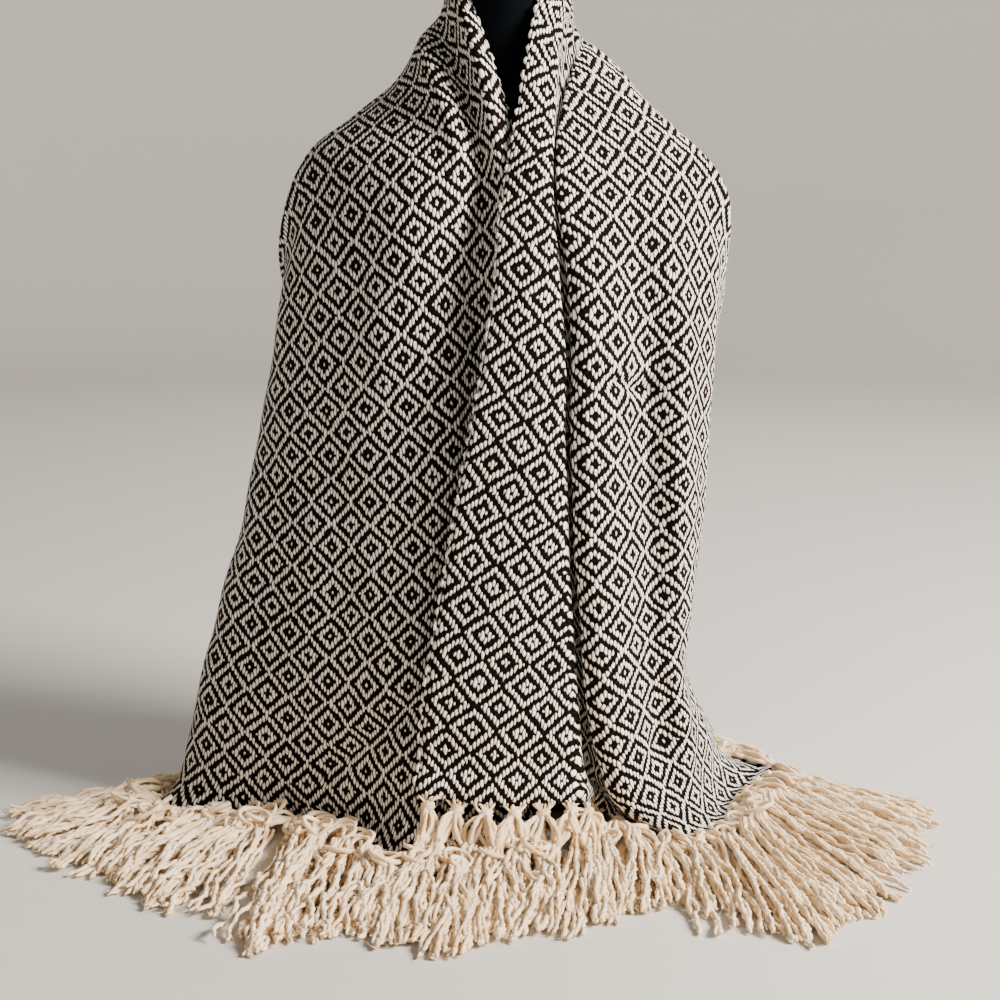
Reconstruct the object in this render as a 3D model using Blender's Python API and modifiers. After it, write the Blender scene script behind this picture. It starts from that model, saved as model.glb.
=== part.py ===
"""A fringed rebozo shawl draped round a plain display bust.

The frame stands on the surface under the bust: +Z is up, the front is -Y and +X is the viewer's right.
The shawl is one sheet. Both ends hang in front, and its middle passes behind the neck.
Tables below are in millimetres, with one row for each fold that runs along the cloth.
"""

import math
from typing import NamedTuple

import bmesh
import bpy
import numpy as np

MM = 0.001
CLOTH_THICK = 0.0028
STRIP_GAP = 0.0006
FLOOR_LINE = CLOTH_THICK / 2 + 0.0002
COLUMNS_PER_FOLD = 2
ROWS_PER_SECTION = (2, 3, 6, 6, 6, 6, 5, 4)
SECTION_HEIGHTS = {"low": 140, "mid": 320, "chest": 500}
SECTION_SAG = {"low": 0.25, "mid": 0.55, "chest": 1.0}
UPPER_SECTIONS = ("yoke", "crest", "quarter")
FOOT_REACH = 0.66
FOOT_RISE = 0.26
TOE_LENGTH = 12

STRIP_DEPTH = 0.0035
LOCKS_PER_END = 54
LOCK_THICK = 0.0046
LOCK_WIDTH = 0.0068
NARROWEST_LOCK = 0.0022
LOCK_FILL = 0.55
LOCK_ROOM = 1.35
TIP_SHARE = 0.6
LAID_LEVEL = 0.0025
UPPER_LEVEL = 0.0105
RAISED_HEM = 0.03
LYING_HEM = 0.012
LARGEST_SPREAD = 0.2
LYING_START = 0.009
LANDING_SHARE = 0.22
HANG_SHARE = 0.06
HANG_DROP = 0.62
RUN_STEP = 0.008
HEM_MARGIN = 0.006
SHORTEST_LOCK = 0.86

BUST_SIDES = 28
BUST_AXIS_X = 0.005


class Fold(NamedTuple):
    """Where one fold of a shawl end passes, in mm: (x, y, z), or (x, y) at a section's own height."""

    name: str
    sag: float
    hem: tuple
    low: tuple
    mid: tuple
    chest: tuple
    yoke: tuple
    crest: tuple
    quarter: tuple
    tip: tuple


class BustSection(NamedTuple):
    """One level of the bust, in mm."""

    height: float
    half_width: float
    half_depth: float
    centre_x: float


RIGHT_END = (
    Fold("edge", 0, (-86, -206, 58), (-78, -191), (-47, -176), (-14, -166),
         (3, -118, 640), (57, 2, 826), (42, 42, 832), (-105, -420)),
    Fold("crown", 0, (-8, -210, 48), (-6, -197), (6, -184), (20, -173),
         (25, -122, 640), (63, 0, 804), (50, 50, 812), (-12, -440)),
    Fold("lip", 0, (70, -196, 46), (64, -186), (55, -177), (51, -166),
         (43, -118, 638), (68, -1, 780), (56, 58, 784), (66, -410)),
    Fold("tuck_in", 0, (84, -160, 30), (67, -152), (55, -144), (50, -138),
         (46, -109, 636), (71, 1, 763), (58, 62, 762), (106, -385)),
    Fold("tuck_out", 0, (118, -152, 10), (85, -150), (68, -142), (63, -136),
         (54, -108, 634), (76, 2, 752), (64, 68, 748), (132, -362)),
    Fold("rim", 0, (160, -174, 0), (79, -179), (64, -171), (61, -161),
         (58, -117, 632), (88, 0, 746), (74, 76, 738), (176, -350)),
    Fold("ridge", 0, (190, -169, 0), (100, -184), (82, -178), (80, -168),
         (82, -114, 624), (110, -2, 726), (98, 92, 720), (222, -385)),
    Fold("dip", 4, (214, -140, 0), (146, -147), (138, -134), (134, -128),
         (118, -100, 614), (138, -2, 697), (106, 84, 688), (280, -400)),
    Fold("swell", 8, (228, -92, 0), (172, -124), (166, -121), (168, -112),
         (160, -80, 600), (168, -2, 670), (142, 108, 660), (350, -325)),
    Fold("turn", 16, (250, -38, 0), (187, -64), (194, -66), (203, -56),
         (203, -40, 578), (200, 0, 641), (150, 98, 618), (400, -210)),
    Fold("hollow", 36, (279, 14, 0), (184, -14), (192, -16), (207, -8),
         (219, -5, 538), (219, 5, 599), (176, 120, 582), (412, -96)),
    Fold("flute", 70, (268, 58, 0), (182, 32), (190, 26), (205, 30),
         (214, 30, 490), (216, 28, 541), (158, 112, 520), (226, 255)),
    Fold("fall", 110, (244, 92, 0), (160, 54), (166, 50), (182, 56),
         (198, 60, 440), (207, 60, 473), (180, 142, 470), (196, 275)),
    Fold("selvedge", 150, (212, 118, 0), (166, 90), (168, 82), (176, 84),
         (188, 80, 395), (196, 94, 415), (152, 134, 408), (164, 290)),
)

LEFT_END = (
    Fold("edge", 0, (36, -180, 0), (16, -160), (20, -156), (18, -148),
         (8, -98, 656), (-47, 2, 826), (-32, 42, 832), (64, -335)),
    Fold("roll", 0, (-12, -198, 0), (-8, -168), (-4, -163), (-2, -156),
         (-10, -112, 650), (-53, 0, 802), (-40, 50, 812), (6, -375)),
    Fold("valley", 0, (-60, -214, 0), (-34, -156), (-24, -150), (-22, -142),
         (-22, -100, 648), (-62, 2, 772), (-48, 60, 778), (-55, -425)),
    Fold("collar_edge", 0, (-103, -226, 0), (-60, -168), (-50, -162), (-44, -153),
         (-40, -110, 644), (-80, 0, 754), (-62, 68, 748), (-116, -440)),
    Fold("front_a", 0, (-124, -204, 0), (-86, -172), (-74, -160), (-66, -152),
         (-62, -111, 641), (-94, -1, 730), (-78, 78, 728), (-160, -430)),
    Fold("front_b", 0, (-158, -162, 0), (-114, -164), (-100, -154), (-90, -147),
         (-86, -108, 637), (-112, -2, 708), (-92, 82, 710), (-206, -400)),
    Fold("front_c", 0, (-196, -136, 0), (-146, -150), (-130, -143), (-116, -138),
         (-110, -100, 632), (-137, -2, 690), (-116, 98, 690), (-250, -345)),
    Fold("front_d", 4, (-244, -116, 0), (-188, -130), (-164, -126), (-146, -120),
         (-138, -86, 624), (-163, -2, 673), (-126, 90, 656), (-300, -320)),
    Fold("front_e", 8, (-300, -112, 0), (-240, -100), (-208, -98), (-184, -92),
         (-170, -66, 610), (-188, 0, 654), (-156, 110, 634), (-376, -275)),
    Fold("turn", 16, (-350, -84, 0), (-292, -58), (-248, -52), (-218, -50),
         (-200, -40, 586), (-206, 0, 624), (-158, 98, 590), (-458, -185)),
    Fold("hollow", 36, (-344, -36, 0), (-306, -12), (-260, -8), (-228, -6),
         (-217, -6, 545), (-219, 4, 582), (-180, 122, 560), (-478, -84)),
    Fold("flute", 70, (-322, 28, 0), (-284, 30), (-242, 28), (-220, 30),
         (-216, 30, 492), (-221, 30, 530), (-160, 112, 506), (-300, 235)),
    Fold("fall", 110, (-298, 62, 0), (-240, 52), (-210, 52), (-194, 56),
         (-200, 60, 440), (-210, 62, 470), (-180, 142, 464), (-268, 262)),
    Fold("selvedge", 150, (-262, 90, 0), (-232, 92), (-202, 86), (-188, 84),
         (-190, 82, 392), (-198, 98, 414), (-152, 132, 408), (-226, 280)),
)

CENTRE_BACK = (
    (57, 832), (66, 810), (73, 784), (76, 764), (80, 748), (87, 734), (107, 712),
    (98, 672), (124, 646), (109, 600), (138, 564), (119, 508), (147, 458), (132, 382),
)

BUST = (
    BustSection(0, 146, 96, 0),
    BustSection(8, 150, 100, 0),
    BustSection(190, 132, 88, 0),
    BustSection(360, 150, 98, 0),
    BustSection(500, 176, 106, 0),
    BustSection(580, 192, 94, 0),
    BustSection(630, 184, 80, 0),
    BustSection(664, 158, 70, 1),
    BustSection(690, 122, 62, 2),
    BustSection(715, 84, 55, 4),
    BustSection(738, 58, 49, 5),
    BustSection(770, 45.3, 45.1, 5),
    BustSection(868, 45.1, 45, 5),
    BustSection(874, 39, 39, 5),
)


def clear_scene():
    for obj in list(bpy.data.objects):
        bpy.data.objects.remove(obj)


def make_collection(name):
    collection = bpy.data.collections.new(name)
    bpy.context.scene.collection.children.link(collection)
    return collection


def make_material(name, colour, roughness):
    material = bpy.data.materials.new(name)
    material.use_nodes = True
    shader = material.node_tree.nodes["Principled BSDF"]
    shader.inputs["Base Color"].default_value = (*colour, 1.0)
    shader.inputs["Roughness"].default_value = roughness
    shader.inputs["Metallic"].default_value = 0.0
    return material


def add_object(name, mesh, collection, material):
    obj = bpy.data.objects.new(name, mesh)
    mesh.materials.append(material)
    collection.objects.link(obj)
    return obj


def smooth_between(points, steps):
    """Points on a Catmull-Rom curve through the control points, along the first axis."""
    before = 2 * points[:1] - points[1:2]
    after = 2 * points[-1:] - points[-2:-1]
    padded = np.concatenate([before, points, after])
    rows = []
    for index, count in enumerate(steps):
        p0, p1, p2, p3 = padded[index : index + 4]
        for step in range(count):
            t = step / count
            rows.append(
                0.5
                * (
                    2 * p1
                    + (p2 - p0) * t
                    + (2 * p0 - 5 * p1 + 4 * p2 - p3) * t**2
                    + (3 * p1 - p0 - 3 * p2 + p3) * t**3
                )
            )
    rows.append(points[-1])
    return np.array(rows)


def way_out(run, height, folds):
    """Unit vectors out of the cloth at its hem: level where the hem lies, and down where it hangs clear."""
    run = run / np.linalg.norm(run, axis=1)[:, None]
    turn = 1 if folds[0].hem[0] < folds[-1].hem[0] else -1
    level = turn * np.column_stack([run[:, 1], -run[:, 0], 0 * height])
    hang = np.clip((height - LYING_HEM) / (RAISED_HEM - LYING_HEM), 0, 1)[:, None]
    out = (1 - hang) * level + hang * np.array([0, 0, -1.0])
    out -= run * np.sum(out * run, axis=1)[:, None]
    return out / np.linalg.norm(out, axis=1)[:, None]


def end_sections(folds):
    """The control sections of one end, from its hem to the quarter of the back, in metres."""
    hem = np.array([fold.hem for fold in folds], float)
    hem[:, 2] = np.maximum(hem[:, 2], FLOOR_LINE / MM)
    by_height = []
    for name, height in SECTION_HEIGHTS.items():
        level = [height - fold.sag * SECTION_SAG[name] for fold in folds]
        plan = np.array([getattr(fold, name) for fold in folds], float)
        by_height.append(np.column_stack([plan, level]))
    low = by_height[0]
    heel = hem - TOE_LENGTH * way_out(np.gradient(hem, axis=0), hem[:, 2] * MM, folds)
    foot = heel + FOOT_REACH * (low - heel)
    foot[:, 2] = heel[:, 2] + FOOT_RISE * (low - heel)[:, 2]
    upper = [np.array([getattr(fold, part) for fold in folds], float) for part in UPPER_SECTIONS]
    return [section * MM for section in (hem, heel, foot, *by_height, *upper)]


def cloth_grid():
    """The middle surface of the shawl: rows run across the cloth, from the right hem to the left hem."""
    back = np.array([(BUST_AXIS_X / MM, y, z) for y, z in CENTRE_BACK]) * MM
    control = np.array([*end_sections(RIGHT_END), back, *reversed(end_sections(LEFT_END))])
    steps = (1, *ROWS_PER_SECTION, *reversed(ROWS_PER_SECTION), 1)
    grid = smooth_between(control, steps)
    grid = smooth_between(grid.transpose(1, 0, 2), [COLUMNS_PER_FOLD] * (len(RIGHT_END) - 1))
    grid[:, :, 2] = np.maximum(grid[:, :, 2], FLOOR_LINE)
    return grid.transpose(1, 0, 2)


def build_cloth(collection, material):
    """One open sheet through the grid, given its thickness."""
    grid = cloth_grid()
    bm = bmesh.new()
    rows = [[bm.verts.new(point) for point in row] for row in grid]
    for row, following in zip(rows, rows[1:]):
        for a, b, c, d in zip(row, row[1:], following[1:], following):
            bm.faces.new((a, b, c, d))
    bmesh.ops.recalc_face_normals(bm, faces=bm.faces)
    mesh = bpy.data.meshes.new("shawl_cloth")
    bm.to_mesh(mesh)
    bm.free()
    mesh.shade_smooth()
    cloth = add_object("shawl_cloth", mesh, collection, material)
    solidify = cloth.modifiers.new("thickness", "SOLIDIFY")
    solidify.thickness = CLOTH_THICK
    solidify.offset = 0.0
    return grid


def build_bust(collection, material):
    """Stacked oval rings bridged into one closed form with a flat foot."""
    bm = bmesh.new()
    rings = []
    for section in BUST:
        made = bmesh.ops.create_circle(bm, segments=BUST_SIDES, radius=1.0)
        for vert in made["verts"]:
            vert.co.x = (vert.co.x * section.half_width + section.centre_x) * MM
            vert.co.y = vert.co.y * section.half_depth * MM
            vert.co.z = section.height * MM
        rings.append(made["verts"])
    outlines = [list({edge for vert in ring for edge in vert.link_edges}) for ring in rings]
    for lower, upper in zip(outlines, outlines[1:]):
        bmesh.ops.bridge_loops(bm, edges=lower + upper)
    bm.faces.new(rings[0])
    bm.faces.new(rings[-1])
    bmesh.ops.recalc_face_normals(bm, faces=bm.faces)
    mesh = bpy.data.meshes.new("display_bust")
    bm.to_mesh(mesh)
    bm.free()
    mesh.shade_smooth()
    add_object("display_bust", mesh, collection, material)


def along_line(points, share):
    """The point at each share of a polyline's length."""
    lengths = np.concatenate([[0], np.cumsum(np.linalg.norm(np.diff(points, axis=0), axis=1))])
    at = np.asarray(share) * lengths[-1]
    return np.column_stack([np.interp(at, lengths, points[:, axis]) for axis in range(3)])


def fringe_frame(folds, hem, share):
    """At each share of the hem: its point, its run, the way out of the cloth, and the face normal."""
    place = along_line(hem, share)
    run = along_line(hem, np.clip(share + RUN_STEP, 0, 1))
    run -= along_line(hem, np.clip(share - RUN_STEP, 0, 1))
    run /= np.linalg.norm(run, axis=1)[:, None]
    out = way_out(run, place[:, 2], folds)
    corner_share = np.concatenate([[0], np.cumsum(np.linalg.norm(np.diff(hem, axis=0), axis=1))])
    beside = np.abs(share[:, None] - corner_share / corner_share[-1]) < np.diff(share).max()
    proud = np.einsum("ijk,ik->ij", hem[None] - place[:, None], out)
    place = place + out * np.where(beside, proud, 0).max(axis=1).clip(0)[:, None]
    return place, run, out, np.cross(run, out)


def lock_path(root, out, tip, level):
    """The middle line of one lock, from the strip to its tip."""
    drop = root[2] - level
    if drop < LYING_HEM:
        start = root + LYING_START * out
        start[2] = level
        return [start, (start + tip) / 2, tip]
    landing = root + LANDING_SHARE * (tip - root)
    landing[2] = level
    hang = root + HANG_SHARE * (tip - root)
    hang[2] = root[2] - HANG_DROP * drop
    return [hang, landing, (landing + tip) / 2, tip]


def tips_of(folds, roots, share, rng):
    """The aim of each lock, from the fold table, and its uneven length. A wide leap stays open."""
    hem = np.array([fold.hem for fold in folds], float)
    lengths = np.concatenate([[0], np.cumsum(np.linalg.norm(np.diff(hem, axis=0), axis=1))])
    tips = np.array([fold.tip for fold in folds], float) * MM
    place = np.interp(share * lengths[-1], lengths, np.arange(len(folds)))
    fold = np.minimum(place.astype(int), len(folds) - 2)
    leap = np.linalg.norm(tips[fold + 1] - tips[fold], axis=1) > LARGEST_SPREAD
    between = place - fold
    near = fold + np.round(between).astype(int)
    aim = tips[fold] + (tips[fold + 1] - tips[fold]) * between[:, None]
    aim[leap] = (tips[near] + roots[:, :2] - hem[near, :2] * MM)[leap]
    return aim, rng.uniform(SHORTEST_LOCK, 1.0, len(share))


def build_fringe(name, folds, hem, seed, collection, material):
    """A narrow strip along the hem, with four-sided locks drawn out of its outer face."""
    rng = np.random.default_rng(seed)
    cells = np.linspace(HEM_MARGIN, 1 - HEM_MARGIN, LOCKS_PER_END + 1)
    lead = (cells[1] - cells[0]) * (1 - LOCK_FILL) / 2
    share = np.sort(np.concatenate([cells[:-1] + lead, cells[1:] - lead]))
    place, run, out, normal = fringe_frame(folds, hem, share)
    half = normal * CLOTH_THICK / 2
    near = place + out * STRIP_GAP
    far = near + out * STRIP_DEPTH
    bm = bmesh.new()
    corners = np.stack([near - half, far - half, far + half, near + half], axis=1)
    rings = [[bm.verts.new(corner) for corner in ring] for ring in corners]
    roots = []
    for index, (ring, following) in enumerate(zip(rings, rings[1:])):
        for side in range(4):
            after = (side + 1) % 4
            face = bm.faces.new((ring[side], ring[after], following[after], following[side]))
            if side == 1 and index % 2 == 0:
                roots.append((face, index))
    bm.faces.new(rings[0])
    bm.faces.new(rings[-1])
    bmesh.ops.recalc_face_normals(bm, faces=bm.faces)
    tips, lengths = tips_of(folds, place[::2], share[::2], rng)
    for (face, index), tip, length in zip(roots, tips, lengths):
        draw_lock(bm, face, tip, length, run[index], out[index], normal[index])
    mesh = bpy.data.meshes.new(name)
    bm.to_mesh(mesh)
    bm.free()
    add_object(name, mesh, collection, material)


def draw_lock(bm, face, tip, length, run, out, normal):
    """Extrudes one outer face of the strip along its lock's path, narrowing to the tip."""
    root = np.array(face.calc_center_median())
    level = UPPER_LEVEL if root[2] > RAISED_HEM else LAID_LEVEL
    end = np.array([*(root[:2] + (tip - root[:2]) * length), level])
    heading = (tip - root[:2]) / np.linalg.norm(tip - root[:2])
    room = np.ptp(np.array([vert.co for vert in face.verts]) @ run) * abs(np.cross(run[:2], heading))
    width = min(LOCK_WIDTH, max(NARROWEST_LOCK, LOCK_ROOM * room))
    path = lock_path(root, out, end, level)
    across, above, previous = run, normal, root
    for index, point in enumerate(path):
        ahead = path[min(index + 1, len(path) - 1)] - previous
        ahead /= np.linalg.norm(ahead)
        side = np.array([-ahead[1], ahead[0], 0.0])
        side *= math.copysign(1 / np.linalg.norm(side), np.dot(side, run))
        spread = np.array([vert.co for vert in face.verts]) - np.array(face.calc_center_median())
        signs = np.sign(np.column_stack([spread @ across, spread @ above]))
        across, above = side, np.cross(side, ahead)
        face = bmesh.ops.extrude_discrete_faces(bm, faces=[face])["faces"][0]
        shrink = TIP_SHARE if index == len(path) - 1 else 1.0
        for vert, (sideways, upward) in zip(face.verts, signs):
            vert.co = point + across * sideways * width * shrink / 2 + above * upward * LOCK_THICK / 2
        previous = point


def main():
    clear_scene()
    parts = make_collection("rebozo_shawl")
    cloth_material = make_material("woven_cotton", (0.32, 0.28, 0.24), 0.9)
    fringe_material = make_material("cotton_fringe", (0.78, 0.69, 0.55), 0.9)
    bust_material = make_material("bust_cover", (0.012, 0.014, 0.02), 0.7)
    build_bust(parts, bust_material)
    grid = build_cloth(parts, cloth_material)
    build_fringe("fringe_right_end", RIGHT_END, grid[0], 11, parts, fringe_material)
    build_fringe("fringe_left_end", LEFT_END, grid[-1], 23, parts, fringe_material)


main()
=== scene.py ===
"""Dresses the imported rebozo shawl: woven cloth, knotted fringe, and the display bust under it.

The frame stands on the surface under the bust: +Z is up, the front is -Y and +X is the viewer's right.
The shawl is one handwoven sheet. Both ends hang in front, and its middle passes behind the neck.
"""

import json
import logging
import math
from dataclasses import astuple, dataclass
from enum import Enum

import bmesh
import bpy
import numpy as np
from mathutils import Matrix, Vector

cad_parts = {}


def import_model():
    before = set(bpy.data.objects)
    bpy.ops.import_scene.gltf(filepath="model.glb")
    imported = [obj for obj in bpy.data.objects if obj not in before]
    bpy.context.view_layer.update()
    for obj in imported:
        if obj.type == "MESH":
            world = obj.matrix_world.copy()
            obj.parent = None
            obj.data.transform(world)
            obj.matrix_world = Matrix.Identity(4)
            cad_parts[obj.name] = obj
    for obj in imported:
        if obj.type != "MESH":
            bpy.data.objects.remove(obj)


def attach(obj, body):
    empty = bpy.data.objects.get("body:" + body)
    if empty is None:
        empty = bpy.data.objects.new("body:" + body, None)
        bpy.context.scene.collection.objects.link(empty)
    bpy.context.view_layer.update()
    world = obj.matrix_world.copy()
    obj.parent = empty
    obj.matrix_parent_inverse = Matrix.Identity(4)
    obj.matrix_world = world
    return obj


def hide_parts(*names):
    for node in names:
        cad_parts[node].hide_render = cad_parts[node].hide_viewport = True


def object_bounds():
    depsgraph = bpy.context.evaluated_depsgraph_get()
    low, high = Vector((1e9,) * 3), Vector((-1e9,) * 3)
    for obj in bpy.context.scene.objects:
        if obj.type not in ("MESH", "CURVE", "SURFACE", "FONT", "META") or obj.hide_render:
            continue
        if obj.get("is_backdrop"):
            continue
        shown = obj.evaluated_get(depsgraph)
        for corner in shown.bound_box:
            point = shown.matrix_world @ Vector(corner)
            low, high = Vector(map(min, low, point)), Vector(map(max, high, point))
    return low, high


log = logging.getLogger("rebozo")

MM = 0.001
TURN = 2 * math.pi
TINY = 1e-12
BODY = "root"


def linear(code: str) -> tuple[float, float, float, float]:
    """Turns an sRGB hex colour to linear.

    Args:
        code: a colour such as "#E9E2D8".

    Returns:
        Red, green, blue and alpha for a shader socket.
    """
    values = [int(code[at : at + 2], 16) / 255 for at in (1, 3, 5)]
    turned = [c / 12.92 if c <= 0.04045 else ((c + 0.055) / 1.055) ** 2.4 for c in values]
    return (*turned, 1.0)


def add_node(tree: bpy.types.NodeTree, kind: str, settings: dict, links: dict) -> bpy.types.Node:
    """Adds a node with its settings and links.

    Args:
        tree: the material's node tree.
        kind: the node's type name.
        settings: attributes of the node.
        links: for each input, by name or number, a socket to link or a value to set.

    Returns:
        The new node.
    """
    node = tree.nodes.new(kind)
    for name, value in settings.items():
        setattr(node, name, value)
    for name, value in links.items():
        if isinstance(value, bpy.types.NodeSocket):
            tree.links.new(value, node.inputs[name])
        else:
            node.inputs[name].default_value = value
    return node


def work_out(tree: bpy.types.NodeTree, known: dict, steps: tuple) -> None:
    """Adds a table of sums to a node tree.

    Args:
        tree: the material's node tree.
        known: sockets by name. Each row's result is added to it.
        steps: rows of name, operation, and inputs that are names or numbers.
    """
    for name, operation, *inputs in steps:
        values = [known[value] if isinstance(value, str) else value for value in inputs]
        made = add_node(tree, "ShaderNodeMath", {"operation": operation}, dict(enumerate(values)))
        known[name] = made.outputs[0]


def new_material(name: str) -> tuple[bpy.types.Material, bpy.types.NodeTree, bpy.types.Node]:
    """Makes a material with an empty Principled shader.

    Args:
        name: the material's name.

    Returns:
        The material, its node tree and its shader.
    """
    material = bpy.data.materials.new(name)
    material.use_nodes = True
    tree = material.node_tree
    return material, tree, tree.nodes["Principled BSDF"]


def set_ramp(ramp: bpy.types.Node, stops: tuple, codes: tuple) -> None:
    """Sets the two ends of a colour ramp.

    Args:
        ramp: the ramp's node.
        stops: where the ends stand, from 0 to 1.
        codes: their colours, in hex.
    """
    for element, stop, code in zip(ramp.color_ramp.elements, stops, codes):
        element.position = stop
        element.color = linear(code)


def finished_object(name: str, mesh: bpy.types.Mesh, *materials: bpy.types.Material) -> bpy.types.Object:
    """Links a mesh object at the origin and gives it its materials.

    Args:
        name: the object's name.
        mesh: its mesh, already in place.
        materials: the materials of its slots.

    Returns:
        The object.
    """
    mesh.shade_smooth()
    for material in materials:
        mesh.materials.append(material)
    made = bpy.data.objects.new(name, mesh)
    bpy.context.scene.collection.objects.link(made)
    return made


class Face(Enum):
    """The two faces of the twill, by how many shafts the lift is moved."""

    LATTICE_LIGHT = 0
    LATTICE_DARK = 2


@dataclass(frozen=True)
class DiamondTwill:
    """Handwoven cotton in a bird's-eye diamond twill: dry and matt, with soft yarns that round the light.

    Lengths within the draft count threads. A sway or a shake is how far noise leads the threads astray.
    The steps work out, for each place, how high the warp and the weft stand there. The warp shows where it
    stands high. Each yarn's colour darkens from its crown to its edge, deep in the cloth: painted shade.
    The fibres are noise with a grain of about a millimetre, coarser than real ones.
    """

    name: str
    face: Face = Face.LATTICE_LIGHT
    diamond_mm: float = 48
    threads_per_diamond: int = 14
    threads_per_lift: float = 4.0
    sways_per_metre: float = 14.0
    shakes_per_metre: float = 160.0
    fibres_per_metre: float = 900.0
    sway: float = 1.5
    end_shake: float = 1.1
    pick_shake: float = 1.8
    warp_swell: float = 1.25
    weft_swell: float = 0.6
    weft_swing: float = -0.8
    warp_hair: float = 0.8
    warp_lead: float = -1.46
    top_hair: float = 0.35
    # Heights over which each yarn fades from painted shade at its edge to its own colour at its crown.
    warp_shade_span: tuple = (1.0, 1.8)
    weft_shade_span: tuple = (0.5, 1.6)
    boundary: tuple = (-0.12, 0.14)
    # Each yarn's own colour at its crown, then the painted shade colour at its edge, deep in the cloth.
    warp_light: str = "#FEFAF3"
    warp_painted_shade: str = "#8E8074"
    weft_light: str = "#160E09"
    weft_painted_shade: str = "#040201"
    roughness: float = 0.92
    specular: float = 0.05
    relief_mm: float = 0.9
    relief_strength: float = 0.8

    STEPS = (
        ("across_plain", "MULTIPLY", "u", "per_metre"),
        ("along_plain", "MULTIPLY", "v", "per_metre"),
        ("sway_a", "MULTIPLY_ADD", "slow_r", "sway", "half_sway_back"),
        ("sway_b", "MULTIPLY_ADD", "slow_g", "sway", "half_sway_back"),
        ("shake_a", "MULTIPLY_ADD", "quick_r", "end_shake", "half_end_shake_back"),
        ("shake_b", "MULTIPLY_ADD", "quick_g", "pick_shake", "half_pick_shake_back"),
        ("across_sway", "ADD", "across_plain", "sway_a"),
        ("along_sway", "ADD", "along_plain", "sway_b"),
        ("x", "ADD", "across_sway", "shake_a"),
        ("y", "ADD", "along_sway", "shake_b"),
        ("shift", "MULTIPLY_ADD", "reverse", "reverse_shift", "face"),
        ("end", "FLOOR", "x"),
        ("end_shaft", "PINGPONG", "end", "half_diamond"),
        ("y_mid", "SUBTRACT", "y", 0.5),
        ("y_lift", "PINGPONG", "y_mid", "half_diamond"),
        ("warp_gap", "SUBTRACT", "end_shaft", "y_lift"),
        ("warp_turn", "ADD", "warp_gap", "shift"),
        ("warp_phase", "FLOORED_MODULO", "warp_turn", "lift"),
        ("warp_angle", "MULTIPLY_ADD", "warp_phase", "thread_angle", "half_thread_back"),
        ("warp_wave", "COSINE", "warp_angle"),
        ("pick", "FLOOR", "y"),
        ("pick_shaft", "PINGPONG", "pick", "half_diamond"),
        ("x_mid", "SUBTRACT", "x", 0.5),
        ("x_lift", "PINGPONG", "x_mid", "half_diamond"),
        ("weft_gap", "SUBTRACT", "x_lift", "pick_shaft"),
        ("weft_turn", "ADD", "weft_gap", "shift"),
        ("weft_phase", "FLOORED_MODULO", "weft_turn", "lift"),
        ("weft_angle", "MULTIPLY_ADD", "weft_phase", "thread_angle", "half_thread_back"),
        ("weft_wave", "COSINE", "weft_angle"),
        ("x_in", "FRACT", "x"),
        ("y_in", "FRACT", "y"),
        ("x_arc", "MULTIPLY", "x_in", math.pi),
        ("y_arc", "MULTIPLY", "y_in", math.pi),
        ("warp_round", "SINE", "x_arc"),
        ("weft_round", "SINE", "y_arc"),
        ("warp_high", "MULTIPLY_ADD", "warp_round", "warp_swell", "warp_wave"),
        ("weft_low", "MULTIPLY", "weft_wave", "weft_swing"),
        ("weft_high", "MULTIPLY_ADD", "weft_round", "weft_swell", "weft_low"),
        ("hair", "MULTIPLY_ADD", "fibre", "warp_hair", "warp_lead"),
        ("lead_hairy", "ADD", "warp_high", "hair"),
        ("top", "MAXIMUM", "warp_high", "weft_high"),
        ("top_hairy", "MULTIPLY_ADD", "fibre", "top_hair", "top"),
    )

    def _numbers(self) -> dict:
        """Names the numbers that the steps read.

        Returns:
            The numbers by name.
        """
        angle = TURN / self.threads_per_lift
        names = ("sway", "end_shake", "pick_shake", "warp_swell", "weft_swell", "weft_swing")
        names += ("warp_hair", "warp_lead", "top_hair")
        return {
            **{name: getattr(self, name) for name in names},
            "per_metre": self.threads_per_diamond / (self.diamond_mm * MM),
            "half_diamond": self.threads_per_diamond / 2,
            "lift": self.threads_per_lift,
            "face": float(self.face.value),
            "reverse_shift": self.threads_per_lift / 2,
            "half_sway_back": -self.sway / 2,
            "half_end_shake_back": -self.end_shake / 2,
            "half_pick_shake_back": -self.pick_shake / 2,
            "thread_angle": angle,
            "half_thread_back": -angle / 2,
        }

    def material(self) -> bpy.types.Material:
        """Builds the cloth's material from its draft.

        Returns:
            The material. It reads the cloth's UV map in metres and its reverse attribute.
        """
        material, tree, shader = new_material(self.name)
        chart = add_node(tree, "ShaderNodeUVMap", {"uv_map": "weave"}, {})
        place = add_node(tree, "ShaderNodeSeparateXYZ", {}, {0: chart.outputs[0]})
        turned = add_node(tree, "ShaderNodeAttribute", {"attribute_name": "reverse"}, {})
        where = add_node(tree, "ShaderNodeTexCoord", {}, {}).outputs["Object"]
        scales = (self.sways_per_metre, 1.0), (self.shakes_per_metre, 1.0), (self.fibres_per_metre, 2.0)
        slow, quick, fibre = [
            add_node(tree, "ShaderNodeTexNoise", {}, {"Vector": where, "Scale": scale, "Detail": detail})
            for scale, detail in scales
        ]
        slow_rgb = add_node(tree, "ShaderNodeSeparateColor", {}, {0: slow.outputs["Color"]})
        quick_rgb = add_node(tree, "ShaderNodeSeparateColor", {}, {0: quick.outputs["Color"]})
        known = {
            **self._numbers(),
            "u": place.outputs[0],
            "v": place.outputs[1],
            "reverse": turned.outputs["Fac"],
            "slow_r": slow_rgb.outputs[0],
            "slow_g": slow_rgb.outputs[1],
            "quick_r": quick_rgb.outputs[0],
            "quick_g": quick_rgb.outputs[1],
            "fibre": fibre.outputs["Fac"],
        }
        work_out(tree, known, self.STEPS)
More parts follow.
